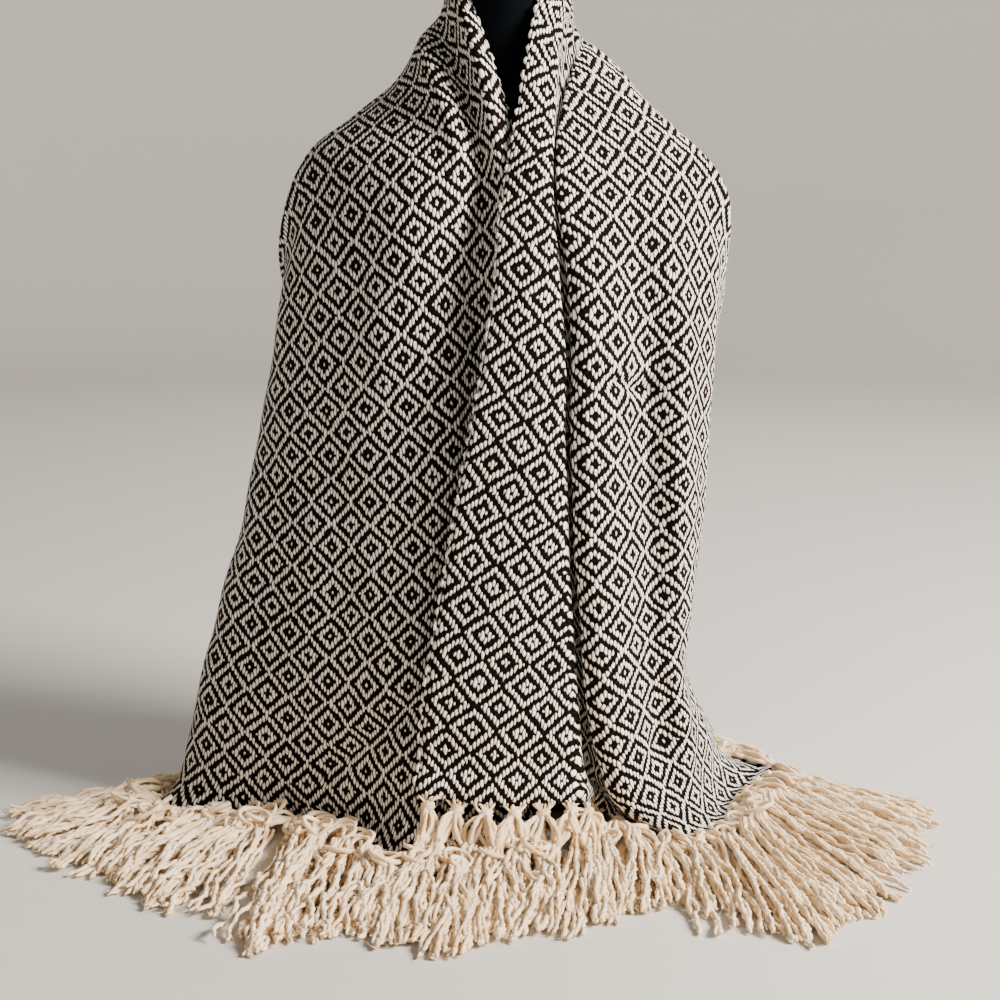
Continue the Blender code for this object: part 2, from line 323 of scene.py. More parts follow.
        # Painted shade: each yarn darkens from its crown to its edge.
        cream = self._yarn(tree, known["warp_high"], self.warp_shade_span, self.warp_painted_shade, self.warp_light)
        dark = self._yarn(tree, known["weft_high"], self.weft_shade_span, self.weft_painted_shade, self.weft_light)
        low, high = self.boundary
        edge = {"Value": known["lead_hairy"], "From Min": low, "From Max": high}
        is_warp = add_node(tree, "ShaderNodeMapRange", {}, edge).outputs[0]
        colour = add_node(tree, "ShaderNodeMix", {"data_type": "RGBA"}, {0: is_warp, 6: dark, 7: cream})
        tree.links.new(colour.outputs[2], shader.inputs["Base Color"])
        relief = {"Strength": self.relief_strength, "Distance": self.relief_mm * MM}
        bump = add_node(tree, "ShaderNodeBump", {}, {**relief, "Height": known["top_hairy"]})
        tree.links.new(bump.outputs[0], shader.inputs["Normal"])
        shader.inputs["Roughness"].default_value = self.roughness
        shader.inputs["Specular IOR Level"].default_value = self.specular
        return material

    def _yarn(
        self, tree: bpy.types.NodeTree, height: bpy.types.NodeSocket, span: tuple, deep: str, light: str
    ) -> bpy.types.NodeSocket:
        """Paints shade on one yarn: its colour darkens from its crown to its edge, deep in the cloth.

        Args:
            tree: the material's node tree.
            height: how high the yarn stands.
            span: the heights of its edge and its crown, over which the painted shade fades.
            deep: the painted shade colour, deep in the cloth.
            light: the yarn's own colour, at its crown.

        Returns:
            The colour socket.
        """
        low, high = span
        heights = {"Value": height, "From Min": low, "From Max": high}
        # Painted shade: 0 at the yarn's edge, 1 at its crown.
        painted_shade_fade = add_node(tree, "ShaderNodeMapRange", {}, heights).outputs[0]
        ramp = add_node(tree, "ShaderNodeValToRGB", {}, {"Fac": painted_shade_fade})
        set_ramp(ramp, (0.0, 1.0), (deep, light))
        return ramp.outputs[0]


@dataclass(frozen=True)
class FringeCotton:
    """Undyed cotton yarn, loosely plied: chalky and soft, with faintly darker patches.

    The hairs are noise with a grain of about a millimetre, coarser than real ones.
    """

    name: str = "cotton_fringe_yarn"
    light: str = "#F8DEBA"
    shade: str = "#D9BB8E"
    stops: tuple = (0.3, 0.62)
    patches_per_metre: float = 45.0
    hairs_per_metre: float = 1100.0
    hair_mm: float = 0.4
    hair_strength: float = 0.5
    roughness: float = 0.95
    sheen: float = 0.25
    specular: float = 0.2

    def material(self) -> bpy.types.Material:
        """Builds the yarn's material.

        Returns:
            The material.
        """
        material, tree, shader = new_material(self.name)
        where = add_node(tree, "ShaderNodeTexCoord", {}, {}).outputs["Object"]
        scales = (self.patches_per_metre, 3.0), (self.hairs_per_metre, 2.0)
        patches, hairs = [
            add_node(tree, "ShaderNodeTexNoise", {}, {"Vector": where, "Scale": scale, "Detail": detail})
            for scale, detail in scales
        ]
        ramp = add_node(tree, "ShaderNodeValToRGB", {}, {"Fac": patches.outputs["Fac"]})
        set_ramp(ramp, self.stops, (self.shade, self.light))
        tree.links.new(ramp.outputs[0], shader.inputs["Base Color"])
        relief = {"Strength": self.hair_strength, "Distance": self.hair_mm * MM}
        bump = add_node(tree, "ShaderNodeBump", {}, {**relief, "Height": hairs.outputs["Fac"]})
        tree.links.new(bump.outputs[0], shader.inputs["Normal"])
        shader.inputs["Roughness"].default_value = self.roughness
        shader.inputs["Sheen Weight"].default_value = self.sheen
        shader.inputs["Specular IOR Level"].default_value = self.specular
        return material


@dataclass(frozen=True)
class SelvedgeCotton(FringeCotton):
    """The cloth's own cream warp cotton where it shows alone at the edge: paler than the fringe, as dry."""

    name: str = "selvedge_warp_yarn"
    light: str = "#F6F0E6"
    shade: str = "#D9CEC0"


@dataclass(frozen=True)
class BustCoating:
    """A moulded display form sprayed matt near-black: an even, faintly pebbled coat with a dull gleam."""

    name: str = "bust_cover_coat"
    colour: str = "#020508"
    worn: str = "#04080D"
    stops: tuple = (0.35, 0.8)
    clouds_per_metre: float = 9.0
    pebble_mm: float = 1.2
    pebble_depth_mm: float = 0.2
    pebble_strength: float = 0.3
    roughness: float = 0.85
    specular: float = 0.05

    def material(self) -> bpy.types.Material:
        """Builds the coat's material.

        Returns:
            The material.
        """
        material, tree, shader = new_material(self.name)
        where = add_node(tree, "ShaderNodeTexCoord", {}, {}).outputs["Object"]
        scales = (self.clouds_per_metre, 3.0), (1 / (self.pebble_mm * MM), 1.0)
        cloud, pebble = [
            add_node(tree, "ShaderNodeTexNoise", {}, {"Vector": where, "Scale": scale, "Detail": detail})
            for scale, detail in scales
        ]
        ramp = add_node(tree, "ShaderNodeValToRGB", {}, {"Fac": cloud.outputs["Fac"]})
        set_ramp(ramp, self.stops, (self.colour, self.worn))
        tree.links.new(ramp.outputs[0], shader.inputs["Base Color"])
        relief = {"Strength": self.pebble_strength, "Distance": self.pebble_depth_mm * MM}
        bump = add_node(tree, "ShaderNodeBump", {}, {**relief, "Height": pebble.outputs["Fac"]})
        tree.links.new(bump.outputs[0], shader.inputs["Normal"])
        shader.inputs["Roughness"].default_value = self.roughness
        shader.inputs["Specular IOR Level"].default_value = self.specular
        return material


@dataclass(frozen=True)
class PaperFloor:
    """Pale paper roll under the object: flat and even."""

    name: str = "paper_floor"
    colour: str = "#C9C6C0"
    grains_per_metre: float = 300.0
    grain_mm: float = 0.1
    grain_strength: float = 0.1
    roughness: float = 0.9

    def material(self) -> bpy.types.Material:
        """Builds the floor's material.

        Returns:
            The material.
        """
        material, tree, shader = new_material(self.name)
        where = add_node(tree, "ShaderNodeTexCoord", {}, {}).outputs["Object"]
        noise = {"Vector": where, "Scale": self.grains_per_metre}
        grain = add_node(tree, "ShaderNodeTexNoise", {}, noise)
        relief = {"Strength": self.grain_strength, "Distance": self.grain_mm * MM}
        bump = add_node(tree, "ShaderNodeBump", {}, {**relief, "Height": grain.outputs["Fac"]})
        tree.links.new(bump.outputs[0], shader.inputs["Normal"])
        shader.inputs["Base Color"].default_value = linear(self.colour)
        shader.inputs["Roughness"].default_value = self.roughness
        return material


@dataclass(frozen=True)
class Fold:
    """Where one fold of a shawl end passes, in mm: (x, y, z), or (x, y) at a section's own height."""

    name: str
    sag: float
    hem: tuple
    low: tuple
    mid: tuple
    chest: tuple
    yoke: tuple
    crest: tuple
    quarter: tuple
    tip: tuple


RIGHT_END = (
    Fold("edge", 0, (-86, -206, 58), (-78, -191), (-47, -176), (-14, -166),
         (3, -118, 640), (57, 2, 826), (42, 42, 832), (-98, -436)),
    Fold("crown", 0, (-8, -210, 48), (-6, -197), (6, -184), (20, -173),
         (25, -122, 640), (63, 0, 804), (50, 50, 812), (-24, -458)),
    Fold("lip", 0, (70, -196, 46), (64, -186), (55, -177), (51, -166),
         (43, -118, 638), (68, -1, 780), (56, 58, 784), (44, -398)),
    Fold("tuck_in", 0, (84, -160, 30), (67, -152), (55, -144), (50, -138),
         (46, -109, 636), (71, 1, 763), (58, 62, 762), (92, -374)),
    Fold("tuck_out", 0, (118, -152, 10), (85, -150), (68, -142), (63, -136),
         (54, -108, 634), (76, 2, 752), (64, 68, 748), (118, -360)),
    Fold("rim", 0, (160, -174, 0), (79, -179), (64, -171), (61, -161),
         (58, -117, 632), (88, 0, 746), (74, 76, 738), (172, -324)),
    Fold("ridge", 0, (190, -169, 0), (100, -184), (82, -178), (80, -168),
         (82, -114, 624), (110, -2, 726), (98, 92, 720), (228, -424)),
    Fold("dip", 4, (214, -140, 0), (146, -147), (138, -134), (134, -128),
         (118, -100, 614), (138, -2, 697), (106, 84, 688), (280, -430)),
    Fold("swell", 8, (228, -92, 0), (172, -124), (166, -121), (168, -112),
         (160, -80, 600), (168, -2, 670), (142, 108, 660), (338, -352)),
    Fold("turn", 16, (250, -38, 0), (187, -64), (194, -66), (203, -56),
         (203, -40, 578), (200, 0, 641), (150, 98, 618), (390, -240)),
    Fold("hollow", 36, (279, 14, 0), (184, -14), (192, -16), (207, -8),
         (219, -5, 538), (219, 5, 599), (176, 120, 582), (402, -110)),
    Fold("flute", 70, (268, 58, 0), (182, 32), (190, 26), (205, 30),
         (214, 30, 490), (216, 28, 541), (158, 112, 520), (125, 125)),
    Fold("fall", 110, (244, 92, 0), (160, 54), (166, 50), (182, 56),
         (198, 60, 440), (207, 60, 473), (180, 142, 470), (110, 170)),
    Fold("selvedge", 150, (212, 118, 0), (166, 90), (168, 82), (176, 84),
         (188, 80, 395), (196, 94, 415), (152, 134, 408), (95, 215)),
)

LEFT_END = (
    Fold("edge", 0, (36, -180, 0), (16, -160), (20, -156), (18, -148),
         (8, -98, 656), (-47, 2, 826), (-32, 42, 832), (64, -335)),
    Fold("roll", 0, (-12, -198, 0), (-8, -168), (-4, -163), (-2, -156),
         (-10, -112, 650), (-53, 0, 802), (-40, 50, 812), (6, -375)),
    Fold("valley", 0, (-60, -214, 0), (-34, -156), (-24, -150), (-22, -142),
         (-22, -100, 648), (-62, 2, 772), (-48, 60, 778), (-55, -425)),
    Fold("collar_edge", 0, (-103, -226, 0), (-60, -168), (-50, -162), (-44, -153),
         (-40, -110, 644), (-80, 0, 754), (-62, 68, 748), (-112, -376)),
    Fold("front_a", 0, (-124, -204, 0), (-86, -172), (-74, -160), (-66, -152),
         (-62, -111, 641), (-94, -1, 730), (-78, 78, 728), (-152, -408)),
    Fold("front_b", 0, (-158, -162, 0), (-114, -164), (-100, -154), (-90, -147),
         (-86, -108, 637), (-112, -2, 708), (-92, 82, 710), (-205, -463)),
    Fold("front_c", 0, (-196, -136, 0), (-146, -150), (-130, -143), (-116, -138),
         (-110, -100, 632), (-137, -2, 690), (-116, 98, 690), (-236, -402)),
    Fold("front_d", 4, (-244, -116, 0), (-188, -130), (-164, -126), (-146, -120),
         (-138, -86, 624), (-163, -2, 673), (-126, 90, 656), (-298, -346)),
    Fold("front_e", 8, (-300, -112, 0), (-240, -100), (-208, -98), (-184, -92),
         (-170, -66, 610), (-188, 0, 654), (-156, 110, 634), (-384, -284)),
    Fold("turn", 16, (-350, -84, 0), (-292, -58), (-248, -52), (-218, -50),
         (-200, -40, 586), (-206, 0, 624), (-158, 98, 590), (-456, -220)),
    Fold("hollow", 36, (-344, -36, 0), (-306, -12), (-260, -8), (-228, -6),
         (-217, -6, 545), (-219, 4, 582), (-180, 122, 560), (-484, -146)),
    Fold("flute", 70, (-322, 28, 0), (-284, 30), (-242, 28), (-220, 30),
         (-216, 30, 492), (-221, 30, 530), (-160, 112, 506), (-215, 190)),
    Fold("fall", 110, (-298, 62, 0), (-240, 52), (-210, 52), (-194, 56),
         (-200, 60, 440), (-210, 62, 470), (-180, 142, 464), (-190, 218)),
    Fold("selvedge", 150, (-262, 90, 0), (-232, 92), (-202, 86), (-188, 84),
         (-190, 82, 392), (-198, 98, 414), (-152, 132, 408), (-165, 245)),
)

CENTRE_BACK = (
    (57, 832), (66, 810), (73, 784), (76, 764), (80, 748), (87, 734), (107, 712),
    (98, 672), (124, 646), (109, 600), (138, 564), (119, 508), (147, 458), (132, 382),
)


def smooth_between(points: np.ndarray, steps: tuple | list) -> np.ndarray:
    """Puts points on a Catmull-Rom curve through the control points, along the first axis.

    Args:
        points: the control points.
        steps: how many points each span gets.

    Returns:
        The points on the curve, the last control point among them.
    """
    before = 2 * points[:1] - points[1:2]
    after = 2 * points[-1:] - points[-2:-1]
    padded = np.concatenate([before, points, after])
    rows = []
    for index, count in enumerate(steps):
        p0, p1, p2, p3 = padded[index : index + 4]
        for step in range(count):
            t = step / count
            cubic = (3 * p1 - p0 - 3 * p2 + p3) * t**3
            rows.append((2 * p1 + (p2 - p0) * t + (2 * p0 - 5 * p1 + 4 * p2 - p3) * t**2 + cubic) / 2)
    rows.append(points[-1])
    return np.array(rows)


def lengths_along(points: np.ndarray) -> np.ndarray:
    """Returns how far along a polyline each of its points lies."""
    return np.concatenate([[0], np.cumsum(np.linalg.norm(np.diff(points, axis=0), axis=1))])


def at_lengths(points: np.ndarray, at: np.ndarray) -> np.ndarray:
    """Returns the points that lie at the given lengths along a polyline."""
    along = lengths_along(points)
    return np.column_stack([np.interp(at, along, points[:, axis]) for axis in range(points.shape[1])])


@dataclass
class Drape:
    """The hang of the whole sheet, from the fold tables.

    Its rows run across the cloth, from the right hem over the back of the neck to the left hem.
    """

    thick: float = 2.8 * MM
    rows_per_section: tuple = (2, 3, 6, 6, 6, 6, 5, 4)
    columns_per_fold: int = 2
    low_mm: float = 140
    mid_mm: float = 320
    chest_mm: float = 500
    sags: tuple = (0.25, 0.55, 1.0)
    foot_reach: float = 0.66
    foot_rise: float = 0.26
    toe_mm: float = 12
    lying_hem: float = 12 * MM
    raised_hem: float = 30 * MM
    bust_axis_mm: float = 5
    floor_gap: float = 0.2 * MM
    fine: int = 4

    @property
    def floor_line(self) -> float:
        """The height of the cloth's middle where it lies on the floor."""
        return self.thick / 2 + self.floor_gap

    def way_out(self, run: np.ndarray, height: np.ndarray, folds: tuple) -> np.ndarray:
        """Finds the way out of the cloth at its hem: level where the hem lies, down where it hangs clear.

        Args:
            run: the directions along the hem.
            height: the heights of the hem.
            folds: the end's fold table.

        Returns:
            Unit vectors, one for each place.
        """
        run = run / np.linalg.norm(run, axis=1)[:, None]
        turn = 1 if folds[0].hem[0] < folds[-1].hem[0] else -1
        level = turn * np.column_stack([run[:, 1], -run[:, 0], 0 * height])
        hang = np.clip((height - self.lying_hem) / (self.raised_hem - self.lying_hem), 0, 1)[:, None]
        out = (1 - hang) * level + hang * np.array([0, 0, -1.0])
        out -= run * np.sum(out * run, axis=1)[:, None]
        return out / np.linalg.norm(out, axis=1)[:, None]

    def sections(self, folds: tuple) -> list[np.ndarray]:
        """Lays out the control sections of one end.

        Args:
            folds: the end's fold table.

        Returns:
            The sections in metres, from the hem to the quarter of the back.
        """
        hem = self._part(folds, "hem")
        hem[:, 2] = np.maximum(hem[:, 2], self.floor_line / MM)
        level = []
        for name, sag in zip(("low", "mid", "chest"), self.sags):
            heights = [getattr(self, f"{name}_mm") - fold.sag * sag for fold in folds]
            level.append(np.column_stack([self._part(folds, name), heights]))
        heel = hem - self.toe_mm * self.way_out(np.gradient(hem, axis=0), hem[:, 2] * MM, folds)
        foot = heel + self.foot_reach * (level[0] - heel)
        foot[:, 2] = heel[:, 2] + self.foot_rise * (level[0] - heel)[:, 2]
        upper = [self._part(folds, name) for name in ("yoke", "crest", "quarter")]
        return [section * MM for section in (hem, heel, foot, *level, *upper)]

    def _part(self, folds: tuple, name: str) -> np.ndarray:
        """Returns one column of a fold table, in mm."""
        return np.array([getattr(fold, name) for fold in folds], float)

    def grid(self) -> np.ndarray:
        """Draws the coarse grid of the sheet's middle surface, as the solid has it.

        Returns:
            The grid, by row, column and axis, in metres.
        """
        back = np.array([(self.bust_axis_mm, y, z) for y, z in CENTRE_BACK]) * MM
        control = np.array([*self.sections(RIGHT_END), back, *reversed(self.sections(LEFT_END))])
        row_steps = (1, *self.rows_per_section, *reversed(self.rows_per_section), 1)
        column_steps = [self.columns_per_fold] * (len(CENTRE_BACK) - 1)
        grid = smooth_between(smooth_between(control, row_steps).transpose(1, 0, 2), column_steps)
        grid[:, :, 2] = np.maximum(grid[:, :, 2], self.floor_line)
        return grid.transpose(1, 0, 2)


class End(Enum):
    """The two ends of the shawl."""

    RIGHT = 0
    LEFT = 1


@dataclass(frozen=True)
class Spot:
    """A soft-edged place on the cloth: its fold and section, and how far it reaches each way."""

    name: str
    end: End
    fold: float
    fold_reach: float
    section: float
    section_reach: float

    def nearness(self, rows: int, columns: int, drape: Drape, fine: int) -> np.ndarray:
        """Works out how near each point of a grid is to the place.

        Args:
            rows: the grid's rows.
            columns: the grid's columns.
            drape: the drape that the grid belongs to.
            fine: how many of the grid's rows go to one of the drape's.

        Returns:
            For each point, from 0, far away, to 1, at the place.
        """
        row = np.arange(rows) if self.end is End.RIGHT else rows - 1 - np.arange(rows)
        stops = np.cumsum([0, 1, *drape.rows_per_section])
        section = np.interp(row / fine, stops, np.arange(len(stops)))[:, None]
        fold = np.arange(columns)[None, :] / (fine * drape.columns_per_fold)
        across = (fold - self.fold) / self.fold_reach
        along = (section - self.section) / self.section_reach
        return np.exp(-(across**2 + along**2)) * (row <= (rows - 1) // 2)[:, None]


@dataclass(frozen=True)
class Nudge(Spot):
    """A soft push on the cloth, in mm."""

    move: tuple


@dataclass(frozen=True)
class Gauge(Spot):
    """A place where the weave is packed closer than its drawn size, across and along the cloth."""

    across: float
    along: float


NUDGES = (
    Nudge("strip_nearer_neck", End.RIGHT, 0.0, 1.6, 6.75, 0.42, (-15, -14, 4)),
    Nudge("strip_stands_off", End.RIGHT, 0.0, 1.3, 4.2, 1.6, (0, -9, 0)),
    Nudge("strip_lip_in", End.RIGHT, 2.6, 1.2, 6.8, 0.5, (-11, 2, 0)),
    Nudge("rim_over_slit", End.RIGHT, 5.0, 0.9, 6.6, 0.55, (-14, -9, 0)),
    Nudge("panel_face_flat", End.RIGHT, 6.4, 0.5, 3.9, 1.3, (7, -4, 0)),
    Nudge("panel_dip", End.RIGHT, 7.0, 0.6, 3.9, 1.4, (-6, 9, 0)),
    Nudge("panel_swell", End.RIGHT, 8.1, 0.8, 3.9, 1.5, (3, -8, 0)),
    Nudge("right_waist_in", End.RIGHT, 9.6, 1.8, 3.2, 0.4, (-9, 0, 0)),
    Nudge("right_flare_out", End.RIGHT, 10.4, 1.8, 2.3, 0.5, (14, 0, 2)),
    Nudge("right_foot_out", End.RIGHT, 10.2, 1.1, 0.5, 0.4, (9, 3, 9)),
    Nudge("slit_closed", End.RIGHT, 5.0, 0.9, 5.9, 0.5, (-5, -3, 0)),
    Nudge("left_flare_out", End.LEFT, 10.0, 1.8, 2.1, 0.6, (-12, 0, 2)),
    Nudge("left_hem_out", End.LEFT, 10.0, 1.2, 1.1, 0.5, (-8, 0, 0)),
    Nudge("roll_crest", End.LEFT, 0.8, 0.75, 6.6, 0.55, (3, -17, 4)),
    Nudge("roll_valley", End.LEFT, 1.85, 0.45, 6.6, 0.5, (1, 6, -3)),
    Nudge("collar_front", End.LEFT, 2.9, 0.65, 6.55, 0.55, (-4, -17, 3)),
    Nudge("edge_tucked", End.LEFT, 0.0, 0.5, 6.5, 0.5, (2, 1, 0)),
    Nudge("shade_valley", End.LEFT, 2.2, 1.5, 4.9, 1.3, (0, 22, 0)),
    Nudge("shade_valley_low", End.LEFT, 2.2, 1.3, 3.3, 0.8, (0, 19, 0)),
)

GAUGES = (
    Gauge("left_panel", End.LEFT, 5.0, 5.5, 4.0, 5.0, 1.16, 1.15),
    Gauge("left_roll", End.LEFT, 0.5, 0.9, 6.6, 0.8, 1.25, 1.0),
    Gauge("left_edge", End.LEFT, 8.4, 1.7, 3.4, 2.6, 0.78, 1.0),
    Gauge("left_shoulder", End.LEFT, 5.6, 2.6, 6.5, 1.0, 1.06, 0.86),
    Gauge("centre_panel", End.RIGHT, 1.0, 3.0, 4.0, 5.0, 1.06, 1.06),
    Gauge("right_panel", End.RIGHT, 9.0, 3.6, 5.4, 2.6, 1.24, 1.02),
    Gauge("right_length", End.RIGHT, 8.0, 3.6, 4.0, 5.0, 1.0, 1.16),
)


@dataclass
class RowSums:
    """Linear equations of a grid in which each point is tied only to its own row and the rows beside it."""

    rows: int
    columns: int

    def __post_init__(self) -> None:
        """Starts with no equations."""
        self.ties = np.zeros((self.rows, 3, self.columns, self.columns))
        self.turned = []

    def add(self, point: np.ndarray, other: np.ndarray, value: np.ndarray | float) -> None:
        """Adds values to the ties of points to other points of the same row or the next.

        Args:
            point: the points' numbers.
            other: the numbers of the points that they are tied to.
            value: what is added to each tie.
        """
        row, column = np.divmod(point, self.columns)
        other_row, other_column = np.divmod(other, self.columns)
        np.add.at(self.ties, (row, other_row - row + 1, column, other_column), value)

    def reduce(self) -> None:
        """Prepares the equations, row by row."""
        for row in range(self.rows):
            own = self.ties[row, 1]
            if row:
                own = own - self.ties[row, 0] @ self.turned[-1] @ self.ties[row - 1, 2]
            self.turned.append(np.linalg.inv(own))

    def solve(self, pull: np.ndarray) -> np.ndarray:
        """Finds the value of each point.

        Args:
            pull: the right-hand side, a value for each point.

        Returns:
            The values.
        """
        rest = pull.reshape(self.rows, self.columns).copy()
        for row in range(1, self.rows):
            rest[row] -= self.ties[row, 0] @ self.turned[row - 1] @ rest[row - 1]
        for row in range(self.rows - 1, -1, -1):
            if row < self.rows - 1:
                rest[row] -= self.ties[row, 2] @ rest[row + 1]
            rest[row] = self.turned[row] @ rest[row]
        return rest.ravel()


@dataclass
class WeaveChart:
    """Flattens the draped sheet as rigidly as it can, so that threads keep their spacing where they show."""

    drape: Drape
    rounds: int = 60
    tuck_columns: tuple = (4, 9)
    tuck_slack: float = 0.01
    back_row: int = 39
    back_spread: float = 6.0
    back_slack: float = 0.15
    rim_column: int = 10
    rim_rows: tuple = (2, 26)
    hold: float = 30.0

    def flatten(self, grid: np.ndarray) -> np.ndarray:
        """Turns and joins the cells of the grid in the plane, each as close to its draped form as it can be.

        Args:
            grid: the coarse grid of the sheet.

        Returns:
            For each point, metres across the cloth from the neck selvedge and along it from the right hem.
        """
        rows, columns = grid.shape[:2]
        index = np.arange(rows * columns).reshape(rows, columns)
        near, far = slice(0, -1), slice(1, None)
        ring = ((near, near), (near, far), (far, far), (far, near))
        places = np.stack([index[corner].ravel() for corner in ring])
        local = self._cells(np.stack([grid[corner] for corner in ring]), rows, columns)
        firm = self._firm(rows, columns)
        rim = index[self.rim_rows[0] : self.rim_rows[1], self.rim_column]
        sums = [RowSums(rows, columns), RowSums(rows, columns)]
        for equations, pinned, tied in zip(sums, (index[:, 0], index[0]), (rim, index[-1])):
            for first, second in np.ndindex(len(places), len(places)):
                equations.add(places[first], places[second], firm * ((first == second) - 1 / len(places)))
            equations.add(pinned, pinned, self.hold)
            for one, other in ((tied[1:], tied[:-1]), (tied[:-1], tied[1:])):
                equations.add(one, one, self.hold)
                equations.add(one, other, -self.hold)
            equations.reduce()
        across = np.cumsum(np.linalg.norm(np.diff(grid, axis=1), axis=2), axis=1)
        along = np.cumsum(np.linalg.norm(np.diff(grid, axis=0), axis=2).mean(axis=1))
        flat = np.zeros((rows, columns, 2))
        flat[:, 1:, 0] = across
        flat[1:, :, 1] = along[:, None]
        flat = flat.reshape(-1, 2)
        for _ in range(self.rounds):
            now = flat[places] - flat[places].mean(axis=0)
            cosine = (local * now).sum(axis=(0, 2))
            sine = (local[..., 0] * now[..., 1] - local[..., 1] * now[..., 0]).sum(axis=0)
            size = np.maximum(np.hypot(cosine, sine), TINY)
            cosine, sine = cosine / size * firm, sine / size * firm
            pull = np.zeros_like(flat)
            for place, form in zip(places, local):
                np.add.at(pull[:, 0], place, form[:, 0] * cosine - form[:, 1] * sine)
                np.add.at(pull[:, 1], place, form[:, 0] * sine + form[:, 1] * cosine)
            flat = np.column_stack([equations.solve(pull[:, axis]) for axis, equations in enumerate(sums)])
        return flat.reshape(rows, columns, 2)

    def _cells(self, corners: np.ndarray, rows: int, columns: int) -> np.ndarray:
        """Lays each cell of the grid flat, at the weave's own gauge.

        Args:
            corners: the four corners of each cell.
            rows: the grid's rows.
            columns: the grid's columns.

        Returns:
            For each corner and cell, its place across and along, from the cell's middle.
        """
        corners = corners - corners.mean(axis=0)
        along = corners[2] + corners[3] - corners[0] - corners[1]
        along /= np.linalg.norm(along, axis=2)[:, :, None]
        across = corners[1] + corners[2] - corners[0] - corners[3]
        across -= along * (across * along).sum(axis=2)[:, :, None]
        across /= np.linalg.norm(across, axis=2)[:, :, None]
        wide, tall = np.ones((rows, columns)), np.ones((rows, columns))
        for gauge in GAUGES:
            share = gauge.nearness(rows, columns, self.drape, 1)
            wide *= 1 + (gauge.across - 1) * share
            tall *= 1 + (gauge.along - 1) * share
        local_across = (corners * across).sum(axis=3) * wide[:-1, :-1]
        local_along = (corners * along).sum(axis=3) * tall[:-1, :-1]
        return np.stack([local_across, local_along], axis=-1).reshape(len(corners), -1, 2)

    def _firm(self, rows: int, columns: int) -> np.ndarray:
        """Says how firmly each cell keeps its form: less in the tuck and behind the neck, out of sight.

        Args:
            rows: the grid's rows.
            columns: the grid's columns.

        Returns:
            The cells' weights.
        """
        row = np.arange(rows - 1)[:, None]
        behind = np.exp(-(((row - self.back_row) / self.back_spread) ** 2))
        firm = np.ones((rows - 1, columns - 1)) * (1 - (1 - self.back_slack) * behind)
        firm[: self.back_row, self.tuck_columns[0] : self.tuck_columns[1]] = self.tuck_slack
        return firm.ravel()


@dataclass(frozen=True)
class Wrinkle:
    """A crease pressed into the front of the cloth, in mm: from and to (x, z), how deep and how wide."""

    name: str
    start: tuple
    end: tuple
    depth: float
    width: float


WRINKLES = (
    Wrinkle("right_slant", (98, 446), (136, 430), 6.0, 7.0),
    Wrinkle("left_low_crease", (-97, 128), (-172, 58), 10.0, 15.0),
    Wrinkle("right_low_crease", (156, 140), (152, 84), 9.0, 13.0),
)


